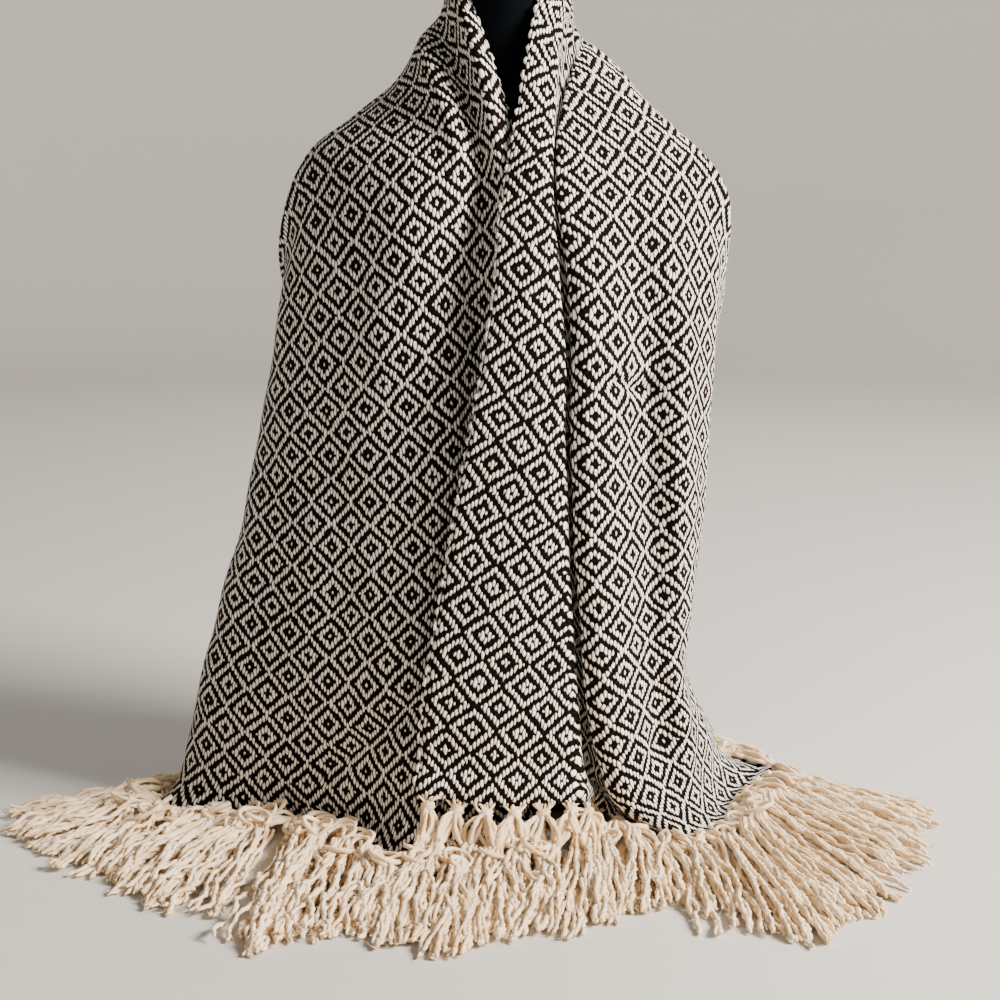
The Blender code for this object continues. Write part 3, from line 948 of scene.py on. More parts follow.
@dataclass
class ShawlCloth:
    """The woven sheet, with its two faces and its thickness."""

    drape: Drape
    chart: WeaveChart
    puckers: int = 14
    pucker_depth: float = 0.3077 * MM
    pucker_lengths: tuple = (0.045, 0.13)
    pucker_top: float = 0.70
    pucker_top_fade: float = 0.1
    pucker_foot: float = 0.01
    pucker_foot_fade: float = 0.03
    front_line: float = -20 * MM
    turned_columns: tuple = (9.0, 5.5)
    turned_rows: tuple = (48.0, 34.0)
    flat_width: float = 0.62
    flat_length: float = 1.95
    seed: int = 5

    def surface(self) -> tuple[np.ndarray, np.ndarray]:
        """Works out the fine grid.

        Returns:
            The points of the sheet's middle, and the weave chart's place for each.
        """
        coarse = self.drape.grid()
        flat = self.chart.flatten(coarse + self._pushes(coarse.shape, 1))
        both = np.concatenate([coarse, flat], axis=2)
        fine = self.drape.fine
        both = smooth_between(both, [fine] * (both.shape[0] - 1)).transpose(1, 0, 2)
        both = smooth_between(both, [fine] * (both.shape[0] - 1)).transpose(1, 0, 2)
        points, flat = both[:, :, :3], both[:, :, 3:]
        points = points + self._pushes(points.shape, fine)
        points = points + self._normals(points) * self._relief(points, flat)[:, :, None]
        points[:, :, 2] = np.maximum(points[:, :, 2], self.drape.floor_line)
        return points, flat

    def _pushes(self, shape: tuple, fine: int) -> np.ndarray:
        """Adds up the nudges over a grid.

        Args:
            shape: the grid's shape.
            fine: how many of its rows go to one of the drape's.

        Returns:
            How far each point moves, in metres.
        """
        total = np.zeros(shape)
        for nudge in NUDGES:
            near = nudge.nearness(shape[0], shape[1], self.drape, fine)
            total += near[:, :, None] * np.array(nudge.move) * MM
        return total

    def _turned(self, row: float, column: float) -> float:
        """Tells how far the other face of the cloth shows.

        Args:
            row: the coarse row.
            column: the coarse column.

        Returns:
            From 0, not at all, to 1, wholly.
        """
        share = 1.0
        for at, (none, full) in ((row, self.turned_rows), (column, self.turned_columns)):
            share *= min(max((at - none) / (full - none), 0.0), 1.0)
        return share

    def _normals(self, points: np.ndarray) -> np.ndarray:
        """Returns the unit normals of the grid, which point to the outside of the drape."""
        normal = np.cross(np.gradient(points, axis=1), np.gradient(points, axis=0))
        return normal / np.maximum(np.linalg.norm(normal, axis=2), TINY)[:, :, None]

    def _relief(self, points: np.ndarray, flat: np.ndarray) -> np.ndarray:
        """Adds up soft puckers and the creases of the wrinkle table.

        Args:
            points: the fine grid.
            flat: its weave chart.

        Returns:
            How far each point moves along its normal, in metres.
        """
        rng = np.random.default_rng(self.seed)
        relief = np.zeros(points.shape[:2])
        for _ in range(self.puckers):
            length = rng.uniform(*self.pucker_lengths)
            turn = rng.uniform(0, math.pi)
            phase = rng.uniform(0, TURN)
            wave = flat[:, :, 0] * math.cos(turn) + flat[:, :, 1] * math.sin(turn)
            relief += self.pucker_depth * np.sin(TURN * wave / length + phase)
        height = points[:, :, 2]
        relief *= np.clip((self.pucker_top - height) / self.pucker_top_fade, 0, 1)
        relief *= np.clip((height - self.pucker_foot) / self.pucker_foot_fade, 0, 1)
        front = points[:, :, 1] < self.front_line
        for wrinkle in WRINKLES:
            start, end = np.array(wrinkle.start) * MM, np.array(wrinkle.end) * MM
            line = end - start
            place = points[:, :, [0, 2]] - start
            share = np.clip(place @ line / np.dot(line, line), 0, 1)
            away = np.linalg.norm(place - share[:, :, None] * line, axis=2) / (wrinkle.width * MM)
            relief -= front * wrinkle.depth * MM * np.exp(-(away**2))
        return relief

    def build(
        self, light: bpy.types.Material, dark: bpy.types.Material
    ) -> tuple[bpy.types.Object, np.ndarray]:
        """Makes the sheet's mesh.

        Args:
            light: the finish of the outer face.
            dark: the finish of the inner face.

        Returns:
            The sheet, and the fine grid of its middle.
        """
        points, flat = self.surface()
        rows, columns = points.shape[:2]
        bm = bmesh.new()
        bmesh.ops.create_grid(bm, x_segments=columns - 1, y_segments=rows - 1, size=1.0)
        bm.verts.ensure_lookup_table()
        chart = bm.loops.layers.uv.new("weave")
        turned = bm.verts.layers.float.new("reverse")
        for vert in bm.verts:
            row, column = divmod(vert.index, columns)
            vert.co = points[row, column]
            vert[turned] = self._turned(row / self.drape.fine, column / self.drape.fine)
        for face in bm.faces:
            for loop in face.loops:
                row, column = divmod(loop.vert.index, columns)
                loop[chart].uv = flat[row, column]
        bmesh.ops.recalc_face_normals(bm, faces=bm.faces)
        outward = sum(face.normal.x * face.calc_center_median().x for face in bm.faces)
        if outward < 0:
            bmesh.ops.reverse_faces(bm, faces=bm.faces)
        mesh = bpy.data.meshes.new("woven_shawl")
        bm.to_mesh(mesh)
        bm.free()
        cloth = finished_object("woven_shawl", mesh, light, dark)
        solidify = cloth.modifiers.new("thickness", "SOLIDIFY")
        solidify.thickness = self.drape.thick
        solidify.offset = 0.0
        solidify.material_offset = 1
        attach(cloth, BODY)
        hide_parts("shawl_cloth")
        log.info("woven_shawl: a grid of %d by %d points", rows, columns)
        return cloth, points


@dataclass
class YarnBundle:
    """Collects yarns and makes them one mesh of plied strands."""

    name: str
    plies: int = 3
    sides: int = 6
    groove: float = 0.11
    twist_mm: float = 46

    def __post_init__(self) -> None:
        """Starts the curve that holds the yarns."""
        self.curve = bpy.data.curves.new(self.name, "CURVE")
        self.curve.dimensions = "3D"
        self.curve.use_fill_caps = True
        self.curve.twist_mode = "MINIMUM"

    def lay(self, points: np.ndarray, radii: np.ndarray, turn: float) -> None:
        """Adds one yarn.

        Args:
            points: the yarn's middle line.
            radii: its radius at each point.
            turn: the angle at which its plies start.
        """
        spline = self.curve.splines.new("POLY")
        spline.points.add(len(points) - 1)
        spline.points.foreach_set("co", np.column_stack([points, np.ones(len(points))]).ravel())
        spline.points.foreach_set("radius", radii)
        spline.points.foreach_set("tilt", turn + lengths_along(points) * TURN / (self.twist_mm * MM))

    def build(self, material: bpy.types.Material) -> bpy.types.Object:
        """Turns the yarns to a mesh.

        Args:
            material: the yarn's finish.

        Returns:
            The finished piece.
        """
        outline = bpy.data.curves.new(f"{self.name}_section", "CURVE")
        outline.dimensions = "2D"
        ring = outline.splines.new("POLY")
        ring.points.add(self.sides - 1)
        ring.use_cyclic_u = True
        for index, point in enumerate(ring.points):
            angle = TURN * index / self.sides
            reach = 1 - self.groove + self.groove * math.cos(self.plies * angle)
            point.co = (reach * math.cos(angle), reach * math.sin(angle), 0, 1)
        section = bpy.data.objects.new(outline.name, outline)
        bpy.context.scene.collection.objects.link(section)
        self.curve.bevel_mode = "OBJECT"
        self.curve.bevel_object = section
        source = bpy.data.objects.new(f"{self.name}_line", self.curve)
        bpy.context.scene.collection.objects.link(source)
        seen = source.evaluated_get(bpy.context.evaluated_depsgraph_get())
        mesh = bpy.data.meshes.new_from_object(seen)
        mesh.name = self.name
        mesh.materials.clear()
        for spare in (source, section):
            bpy.data.objects.remove(spare)
        bm = bmesh.new()
        bm.from_mesh(mesh)
        bmesh.ops.recalc_face_normals(bm, faces=bm.faces)
        bm.to_mesh(mesh)
        bm.free()
        made = finished_object(self.name, mesh, material)
        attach(made, BODY)
        log.info("%s: %d faces", self.name, len(mesh.polygons))
        return made


@dataclass(frozen=True)
class YarnForm:
    """How knots, twist and hand spinning leave a yarn uneven: its waves aside, and its thick places."""

    radius: float = 2.8 * MM
    crimps: tuple = ((2.2 * MM, 40 * MM, 90 * MM), (0.8 * MM, 17 * MM, 30 * MM))
    crimp_shares: tuple = (0.4, 1.0)
    thick_lengths: tuple = (22 * MM, 48 * MM)
    thick_wave: float = 0.13
    thick_shares: tuple = (0.82, 1.15)


@dataclass(frozen=True)
class StrandForm:
    """A short yarn from knot to knot: how it is stepped, how much it bows up and how thin its ends are."""

    fewest_steps: int = 4
    step: float = 5 * MM
    upward: float = 0.9
    calm: float = 0.5
    end_share: float = 0.8


@dataclass(frozen=True)
class LoopForm:
    """A slack loop of yarn on the heap: its size, how far it goes round and how it arches."""

    steps: int = 20
    radii: tuple = (7 * MM, 15 * MM)
    turns: tuple = (0.55, 0.9)
    lean: float = 0.5
    lift: tuple = (3 * MM, 11 * MM)
    arch: float = 6 * MM
    sink: float = 3 * MM
    length_in_radii: float = 5
    weight: float = 0.95
    end_share: float = 0.75


@dataclass(frozen=True)
class KnotForm:
    """A yarn wound round a bundle as a tied knot shows it."""

    steps: int = 26
    turns: float = 2.2
    lean: float = 1.6 * MM
    length: float = 5.0 * MM
    tightness: float = 0.8
    weight: float = 1.05
    askew: tuple = (0.31, 0.17, 0.94)


@dataclass(frozen=True)
class TailForm:
    """A loose tail: how it parts into tufts, fans out, is heaped and ends."""

    slot_stray: float = 0.1
    tufts: tuple = (2, 5)
    tuft_pull: float = 0.85
    tuft_lengths: tuple = (0.86, 1.03)
    yarn_lengths: tuple = (0.93, 1.0)
    bend: float = 4 * MM
    fewest_steps: int = 8
    step: float = 6.5 * MM
    root_calm: float = 0.35
    gather: float = 3.2 * MM
    root_width: float = 0.14
    fan_power: float = 0.85
    heap_start: float = 0.25
    heap_run: float = 0.7
    root_lift: float = 3 * MM
    blunt_length: float = 4 * MM
    blunt_share: float = 0.3


@dataclass(frozen=True)
class HairForm:
    """The fine fibres that stand out of each yarn, most often near its tip."""

    count: int = 4
    radius: float = 0.28 * MM
    sides: int = 3
    steps: int = 4
    toward_tip: tuple = (2.0, 0.9)
    stray: float = 0.55
    lengths: tuple = (5 * MM, 12 * MM)
    along: float = 0.7
    curl: float = 1.2 * MM
    taper: float = 0.6


@dataclass(frozen=True)
class HangForm:
    """A tassel's middle line: shares of its way where it hangs or lies, and its height on the floor."""

    level: float = 8 * MM
    hang_share: float = 0.06
    hang_drop: float = 0.62
    landing_share: float = 0.2
    lying_rise: float = 2 * MM
    lying_shares: tuple = (0.45, 0.75)
    front_start: float = 14 * MM
    back_start: float = 5 * MM
    steps: int = 12


@dataclass
class KnottedFringe:
    """One end's fringe: warp yarns knotted at the hem, parted and knotted again, and left as loose tails."""

    name: str
    node: str
    folds: tuple
    drape: Drape
    tassels: int
    seed: int
    loops: int
    curl: float
    yarns: int = 14
    under_yarns: int = 10
    ends_per_tassel: int = 8
    hem_share: float = 0.92
    hem_inset: float = 2 * MM
    hem_reach: float = 9 * MM
    end_bow: float = 1.5 * MM
    end_weight: float = 0.6
    net_bow: float = 5.0 * MM
    knot_drop: float = 9 * MM
    hem_knot: float = 5.6 * MM
    net_knot: float = 6.4 * MM
    net_length: float = 57 * MM
    net_shares: tuple = (0.88, 1.12)
    net_knot_length: float = 6 * MM
    net_knot_level: float = 7 * MM
    joined_tips: float = 90 * MM
    largest_spread: float = 200 * MM
    shortest: float = 0.95
    longest: float = 1.06
    stray: float = 0.07
    floor_level: float = 3 * MM
    heap: float = 10 * MM
    heap_fades: tuple = (-130 * MM, -20 * MM)
    back_heap: float = 0.25
    under_heap: float = 3 * MM
    under_start: float = 0.7
    line_steps: int = 20
    overlap: float = 0.66
    widths: tuple = (15 * MM, 44 * MM)
    loop_line: float = -70 * MM
    loop_shares: tuple = (0.1, 1.3)
    front_line: float = -461 * MM
    yarn_form: YarnForm = YarnForm()
    strand_form: StrandForm = StrandForm()
    loop_form: LoopForm = LoopForm()
    knot_form: KnotForm = KnotForm()
    tail_form: TailForm = TailForm()
    hair_form: HairForm = HairForm()
    hang_form: HangForm = HangForm()

    def __post_init__(self) -> None:
        """Starts the fringe's random draws and its bundles."""
        self.rng = np.random.default_rng(self.seed)
        self.net = YarnBundle(f"{self.name}_net")
        self.tails = YarnBundle(f"{self.name}_tails")
        self.under = YarnBundle(f"{self.name}_under")
        self.fluff = YarnBundle(f"{self.name}_fluff", sides=self.hair_form.sides)

    def lines(self, hem: np.ndarray) -> tuple[np.ndarray, np.ndarray, list[np.ndarray]]:
        """Finds where each tassel leaves the hem and how it hangs and lies.

        Args:
            hem: the hem's points.

        Returns:
            The roots, the ways out of the cloth, and each tassel's middle line.
        """
        along = lengths_along(hem)
        at = (np.arange(self.tassels) + 0.5) / self.tassels * along[-1]
        roots = at_lengths(hem, at)
        after = at_lengths(hem, np.minimum(at + self.hem_reach, along[-1]))
        before = at_lengths(hem, np.maximum(at - self.hem_reach, 0))
        out = self.drape.way_out(after - before, roots[:, 2], self.folds)
        tips = self._tips(roots, at / along[-1])
        lines = [self._line(root, way, tip) for root, way, tip in zip(roots, out, tips)]
        return roots, out, lines

    def _tips(self, roots: np.ndarray, share: np.ndarray) -> np.ndarray:
        """Aims each tassel from the fold table, a little unevenly.

        Args:
            roots: where the tassels leave the hem.
            share: how far along the hem each is, from 0 to 1.

        Returns:
            The tips, on the floor.
        """
        hem = np.array([fold.hem for fold in self.folds], float)
        along = lengths_along(hem)
        tips = np.array([fold.tip for fold in self.folds], float) * MM
        place = np.interp(share * along[-1], along, np.arange(len(self.folds)))
        fold = np.minimum(place.astype(int), len(self.folds) - 2)
        leap = np.linalg.norm(tips[fold + 1] - tips[fold], axis=1) > self.largest_spread
        between = place - fold
        near = fold + np.round(between).astype(int)
        aim = tips[fold] + (tips[fold + 1] - tips[fold]) * between[:, None]
        aim[leap] = (tips[near] + roots[:, :2] - hem[near, :2] * MM)[leap]
        reach = self.rng.uniform(self.shortest, self.longest, len(share))[:, None]
        way = (aim - roots[:, :2]) * reach
        swing = self.rng.normal(0, self.stray, len(share))[:, None]
        aim = roots[:, :2] + way + swing * np.column_stack([-way[:, 1], way[:, 0]])
        return np.column_stack([aim, np.full(len(aim), self.floor_level)])

    def _line(self, root: np.ndarray, out: np.ndarray, tip: np.ndarray) -> np.ndarray:
        """Draws one tassel's middle line: down from a raised hem, and along the floor.

        Args:
            root: where it leaves the hem.
            out: the way out of the cloth.
            tip: where it ends.

        Returns:
            Closely spaced points.
        """
        form = self.hang_form
        reach = tip - root
        if root[2] > self.drape.lying_hem + form.level:
            hang = root + form.hang_share * reach
            hang[2] = root[2] - form.hang_drop * (root[2] - form.level)
            landing = root + form.landing_share * reach
            landing[2] = form.level
            control = [root, hang, landing, 0.5 * (landing + tip) + (0, 0, form.lying_rise), tip]
        else:
            start = root + (form.front_start if root[1] < 0 else form.back_start) * out
            start[2] = max(form.level, root[2])
            lying = [root + share * reach for share in form.lying_shares]
            for point in lying:
                point[2] = form.level
            control = [root, start, *lying, tip]
        return smooth_between(np.array(control), [form.steps] * (len(control) - 1))

    def build(self, hem: np.ndarray, material: bpy.types.Material) -> list[bpy.types.Object]:
        """Makes the fringe's pieces.

        Args:
            hem: the hem's points.
            material: the yarn's finish.

        Returns:
            The pieces: the knotted net, the loose tails, the tails under them, and the fine hairs.
        """
        roots, out, lines = self.lines(hem)
        knots = [at_lengths(line, np.array([self.knot_drop]))[0] for line in lines]
        joins, join_ways, tail_lines = self._joins(lines)
        for index, (root, knot) in enumerate(zip(roots, knots)):
            self._gather_ends(hem, index, out[index], knot)
            way = knot - root
            self._knot(knot, way / np.linalg.norm(way), self.hem_knot)
            for join in joins[index : index + 2]:
                for _ in range(self.yarns // 2):
                    self._strand(knot, join, self.net_bow, 1.0)
            if root[2] < self.drape.raised_hem and root[1] < self.loop_line:
                for _ in range(self.loops):
                    self._loop(knot + self.rng.uniform(*self.loop_shares) * (joins[index] - knot))
        for join, way, line, wide in zip(joins, join_ways, tail_lines, self._widths(tail_lines)):
            self._knot(join, way, self.net_knot)
            self._tail(self.tails, line, wide, self.yarns, self._mound(line[0, 1]))
        low_lines = [self._stretch(line, self.under_start * self.net_length) for line in lines]
        for line, wide in zip(low_lines, self._widths(low_lines)):
            line[:, 2] = self.yarn_form.radius
            self._tail(self.under, line, wide, self.under_yarns, self.under_heap)
        bundles = (self.net, self.tails, self.under, self.fluff)
        pieces = [bundle.build(material) for bundle in bundles]
        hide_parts(self.node)
        return pieces

    def _gather_ends(self, hem: np.ndarray, index: int, out: np.ndarray, knot: np.ndarray) -> None:
        """Lays the warp ends that run from the hem to a tassel's first knot.

        Args:
            hem: the hem's points.
            index: the tassel's number.
            out: the way out of the cloth.
            knot: the knot's middle.
        """
        length = lengths_along(hem)[-1]
        pitch = length / self.tassels
        for end in range(self.ends_per_tassel):
            aside = (end + 0.5) / self.ends_per_tassel - 0.5
            at = pitch * (index + 0.5) + pitch * self.hem_share * aside
            start = at_lengths(hem, np.array([np.clip(at, 0, length)]))[0]
            self._strand(start - self.hem_inset * out, knot, self.end_bow, self.end_weight)

    def _stretch(self, line: np.ndarray, start: float) -> np.ndarray:
        """Returns evenly spaced points on a line, from a length along it to its end."""
        return at_lengths(line, np.linspace(start, lengths_along(line)[-1], self.line_steps))

    def _joins(self, lines: list[np.ndarray]) -> tuple[list, list, list]:
        """Finds the second knots, each between two tassels, and the tails' middle lines.

        Args:
            lines: the tassels' middle lines.

        Returns:
            The knots, the directions through them, and the tails' lines.
        """
        joins, ways, tails = [], [], []
        for index in range(self.tassels + 1):
            left, right = lines[max(index - 1, 0)], lines[min(index, self.tassels - 1)]
            near = np.linalg.norm(left[-1] - right[-1]) < self.joined_tips
            line = (left + right) / 2 if near else right
            at = self.net_length * self.rng.uniform(*self.net_shares)
            here, ahead = at_lengths(line, np.array([at, at + self.net_knot_length]))
            here[2] = max(here[2], self.net_knot_level) + self.rng.uniform(0, self._mound(here[1]))
            joins.append(here)
            ways.append((ahead - here) / np.linalg.norm(ahead - here))
            rest = self._stretch(line, at)
            rest[0] = here
            tails.append(rest)
        return joins, ways, tails

    def _crimp(self, along: np.ndarray) -> np.ndarray:
        """Draws the waves that knots and twist leave in a yarn: a long one and a short one, each way.

        Args:
            along: lengths along the yarn.

        Returns:
            For each length, the yarn's two ways aside, in metres.
        """
        waves = np.zeros((len(along), 2))
        for reach, shortest, longest in self.yarn_form.crimps:
            for side in range(2):
                length = self.rng.uniform(shortest, longest)
                phase = self.rng.uniform(0, TURN)
                high = self.curl * self.rng.uniform(*self.yarn_form.crimp_shares) * reach
                waves[:, side] += high * np.sin(TURN * along / length + phase)
        return waves

    def _thickness(self, along: np.ndarray, weight: float) -> np.ndarray:
        """Draws a hand-spun yarn's radius, thick and thin by turns.

        Args:
            along: lengths along the yarn.
            weight: its thickness as a share of a full yarn.

        Returns:
            The radii, in metres.
        """
        form = self.yarn_form
        length = self.rng.uniform(*form.thick_lengths)
        phase = self.rng.uniform(0, TURN)
        uneven = 1 + form.thick_wave * np.sin(TURN * along / length + phase)
        return form.radius * weight * self.rng.uniform(*form.thick_shares) * uneven

    def _finish(self, bundle: YarnBundle, points: np.ndarray, radii: np.ndarray) -> None:
        """Lifts a yarn off the floor where it dips below, and adds it to its bundle."""
        points[:, 2] = np.maximum(points[:, 2], self.yarn_form.radius)
        bundle.lay(points, radii, self.rng.uniform(0, TURN))

    def _strand(self, start: np.ndarray, end: np.ndarray, bow: float, weight: float) -> None:
        """Lays one yarn of the net between two places, bowed a little.

        Args:
            start: where it starts.
            end: where it ends.
            bow: how far its middle stands off the straight line, at most.
            weight: its thickness as a share of a full yarn.
        """
        form = self.strand_form
        length = np.linalg.norm(end - start)
        t = np.linspace(0, 1, max(form.fewest_steps, int(length / form.step) + 2))
        push = self.rng.normal(0, bow, 3)
        push[2] = abs(push[2]) * form.upward
        ease = np.sin(math.pi * t)
        waves = self._crimp(t * length) * form.calm * ease[:, None]
        points = start + (end - start) * t[:, None] + push * ease[:, None]
        points[:, [0, 2]] += waves
        radii = self._thickness(t, weight) * (form.end_share + (1 - form.end_share) * ease)
        self._finish(self.net, points, radii)

    def _loop(self, place: np.ndarray) -> None:
        """Lays a slack loop of yarn on the heap.

        Args:
            place: where on the heap.
        """
        form = self.loop_form
        t = np.linspace(0, 1, form.steps)
        ease = np.sin(math.pi * t)
        radius = self.rng.uniform(*form.radii)
        angle = self.rng.uniform(0, TURN) + TURN * self.rng.uniform(*form.turns) * t
        lean = self.rng.uniform(-form.lean, form.lean)
        ring = radius * np.column_stack([np.cos(angle), np.sin(angle), lean * np.cos(angle)])
        points = place + ring
        points[:, 2] += self.rng.uniform(*form.lift) + form.arch * ease - form.sink
        radii = self._thickness(t * radius * form.length_in_radii, form.weight)
        self._finish(self.net, points, radii * (form.end_share + (1 - form.end_share) * ease))

    def _knot(self, place: np.ndarray, way: np.ndarray, radius: float) -> None:
        """Winds a yarn round a bundle, twice, as a tied knot shows.

        Args:
            place: the knot's middle.
            way: the direction through it.
            radius: how far out the winding lies.
        """
        form = self.knot_form
        side = np.cross(way, form.askew)
        side /= np.linalg.norm(side)
        over = np.cross(way, side)
        t = np.linspace(0, 1, form.steps)
        angle = TURN * form.turns * t + self.rng.uniform(0, TURN)
        ring = np.cos(angle)[:, None] * side + np.sin(angle)[:, None] * over
        shift = (t - 0.5) * form.length + form.lean * np.sin(angle)
        points = place + radius * form.tightness * ring + shift[:, None] * way
        self._finish(self.net, points, np.full(len(t), self.yarn_form.radius * form.weight))

    def _mound(self, depth: float) -> float:
        """Says how high the fringe is heaped, from its place front to back: it lies flatter behind.

        Args:
            depth: the place's y, in metres.

        Returns:
            The height, in metres.
        """
        return float(np.interp(depth, self.heap_fades, (self.heap, self.back_heap * self.heap)))

    def _widths(self, lines: list[np.ndarray]) -> np.ndarray:
        """Measures how far each tail has to fan out to meet the tails beside it.

        Args:
            lines: the tails' middle lines.

        Returns:
            Half of each tail's width at its tip, in metres.
        """
        tips = np.array([line[-1, :2] for line in lines])
        gaps = np.linalg.norm(np.diff(tips, axis=0), axis=1)
        beside = (np.concatenate([gaps[:1], gaps]) + np.concatenate([gaps, gaps[-1:]])) / 2
        return np.clip(beside * self.overlap, *self.widths)

    def _tail(self, bundle: YarnBundle, line: np.ndarray, wide: float, yarns: int, heap: float) -> None:
        """Lays a loose tail: soft wavy yarns that fan out below the knot and end bluntly.

        Args:
            bundle: the yarns to add it to.
            line: the tail's middle line.
            wide: half of its width at the tip.
            yarns: how many yarns it has.
            heap: how high they are heaped.
        """
        form = self.tail_form
        length = lengths_along(line)[-1]
        slots = (np.arange(yarns) + 0.5) / yarns * 2 - 1 + self.rng.normal(0, form.slot_stray, yarns)
        tufts = int(self.rng.integers(*form.tufts))
        slots += form.tuft_pull * np.sin(math.pi * tufts * (slots + 1)) / (math.pi * tufts)
        bend = self.rng.normal(0, form.bend)
        shares = self.rng.uniform(*form.tuft_lengths, tufts)
        for slot in slots:
            tuft = int(np.clip((slot + 1) / 2 * tufts, 0, tufts - 1))
            reach = length * shares[tuft] * self.rng.uniform(*form.yarn_lengths)
            t = np.linspace(0, 1, max(form.fewest_steps, int(reach / form.step)))
            middle = at_lengths(line, t * reach)
            ahead = np.gradient(middle, axis=0)
            ahead /= np.linalg.norm(ahead, axis=1)[:, None]
            side = np.column_stack([-ahead[:, 1], ahead[:, 0], 0 * t])
            rank = self.rng.uniform(0, 1)
            waves = self._crimp(t * reach) * (form.root_calm + (1 - form.root_calm) * t)[:, None]
            gather = form.gather * self.rng.normal(0, 1) * (1 - t) ** 2
            fan = form.root_width + (1 - form.root_width) * t**form.fan_power
            aside = wide * slot * fan + bend * np.sin(math.pi * t) + gather
            points = middle + side * (aside + waves[:, 0])[:, None]
            points[:, 1] = np.maximum(points[:, 1], self.front_line)
            mound = heap * np.sin(math.pi * (form.heap_start + form.heap_run * t))
            points[:, 2] += rank * (mound + form.root_lift * (1 - t)) + waves[:, 1]
            blunt = np.sqrt(np.clip((1 - t) * reach / form.blunt_length, form.blunt_share, 1))
            self._finish(bundle, points, self._thickness(t * reach, 1.0) * blunt)
            for _ in range(self.hair_form.count):
                self._hair(points)

    def _hair(self, points: np.ndarray) -> None:
        """Lets one fine fibre stand out of a yarn.

        Args:
            points: the yarn's middle line.
        """
        form = self.hair_form
        at = min(int(len(points) * self.rng.beta(*form.toward_tip)), len(points) - 1)
        way = points[at] - points[at - 1] if at else points[1] - points[0]
        way /= max(np.linalg.norm(way), 1 * MM)
        lean = self.rng.normal(0, form.stray, 3)
        lean[2] = abs(lean[2])
        reach = self.rng.uniform(*form.lengths)
        t = np.linspace(0, 1, form.steps)
        fibre = points[at] + reach * t[:, None] * (form.along * way + lean)
        fibre += self.rng.normal(0, form.curl, 3) * np.sin(math.pi * t)[:, None]
        fibre[:, 1] = np.maximum(fibre[:, 1], self.front_line)
        fibre[:, 2] = np.maximum(fibre[:, 2], 2 * form.radius)
        self.fluff.lay(fibre, form.radius * (1 - form.taper * t), 0.0)


@dataclass
class Selvedge:
    """The outermost warp ends: soft cream floats that stand out along the cloth's two long edges."""

    name: str
    radius: float = 1.9 * MM
    length: float = 8.6 * MM
    lengths: tuple = (0.8, 1.35)
    pitch: float = 13.7 * MM
    stray_along: float = 0.8 * MM
    stray_aside: float = 0.35 * MM
    standing_out: float = 0.9 * MM
    standings: tuple = (0.5, 1.7)
    weights: tuple = (0.8, 1.25)
    steps: int = 6
    taper: float = 0.08
    roundness: float = 0.6
    seed: int = 31

    def build(
        self, edges: list[np.ndarray], insides: list[np.ndarray], material: bpy.types.Material
    ) -> bpy.types.Object:
        """Lays the floats along the edges.

        Args:
            edges: the points along each edge.
            insides: the points one column in from each edge.
            material: the yarn's finish.

        Returns:
            The finished piece.
        """
        rng = np.random.default_rng(self.seed)
        bundle = YarnBundle(self.name)
        bulge = np.sin(math.pi * np.linspace(self.taper, 1 - self.taper, self.steps))
        for edge, inside in zip(edges, insides):
            way_out = edge - inside
            way_out /= np.linalg.norm(way_out, axis=1)[:, None]
            along = lengths_along(edge)
            for start in np.arange(self.pitch, along[-1] - self.pitch, self.pitch):
                length = self.length * rng.uniform(*self.lengths)
                at = start + length * np.linspace(-0.5, 0.5, self.steps) + rng.normal(0, self.stray_along)
                aside = np.column_stack([np.interp(at, along, way_out[:, axis]) for axis in range(3)])
                standing = self.standing_out * bulge * rng.uniform(*self.standings)
                points = at_lengths(edge, at) + aside * standing[:, None]
                points += rng.normal(0, self.stray_aside, points.shape)
                radii = self.radius * bulge**self.roundness * rng.uniform(*self.weights)
                bundle.lay(points, radii, rng.uniform(0, TURN))
        return bundle.build(material)


@dataclass(frozen=True)
class BustLevel:
    """One level of the bust, in mm."""

    height: float
    half_width: float
    half_depth: float
    centre_x: float


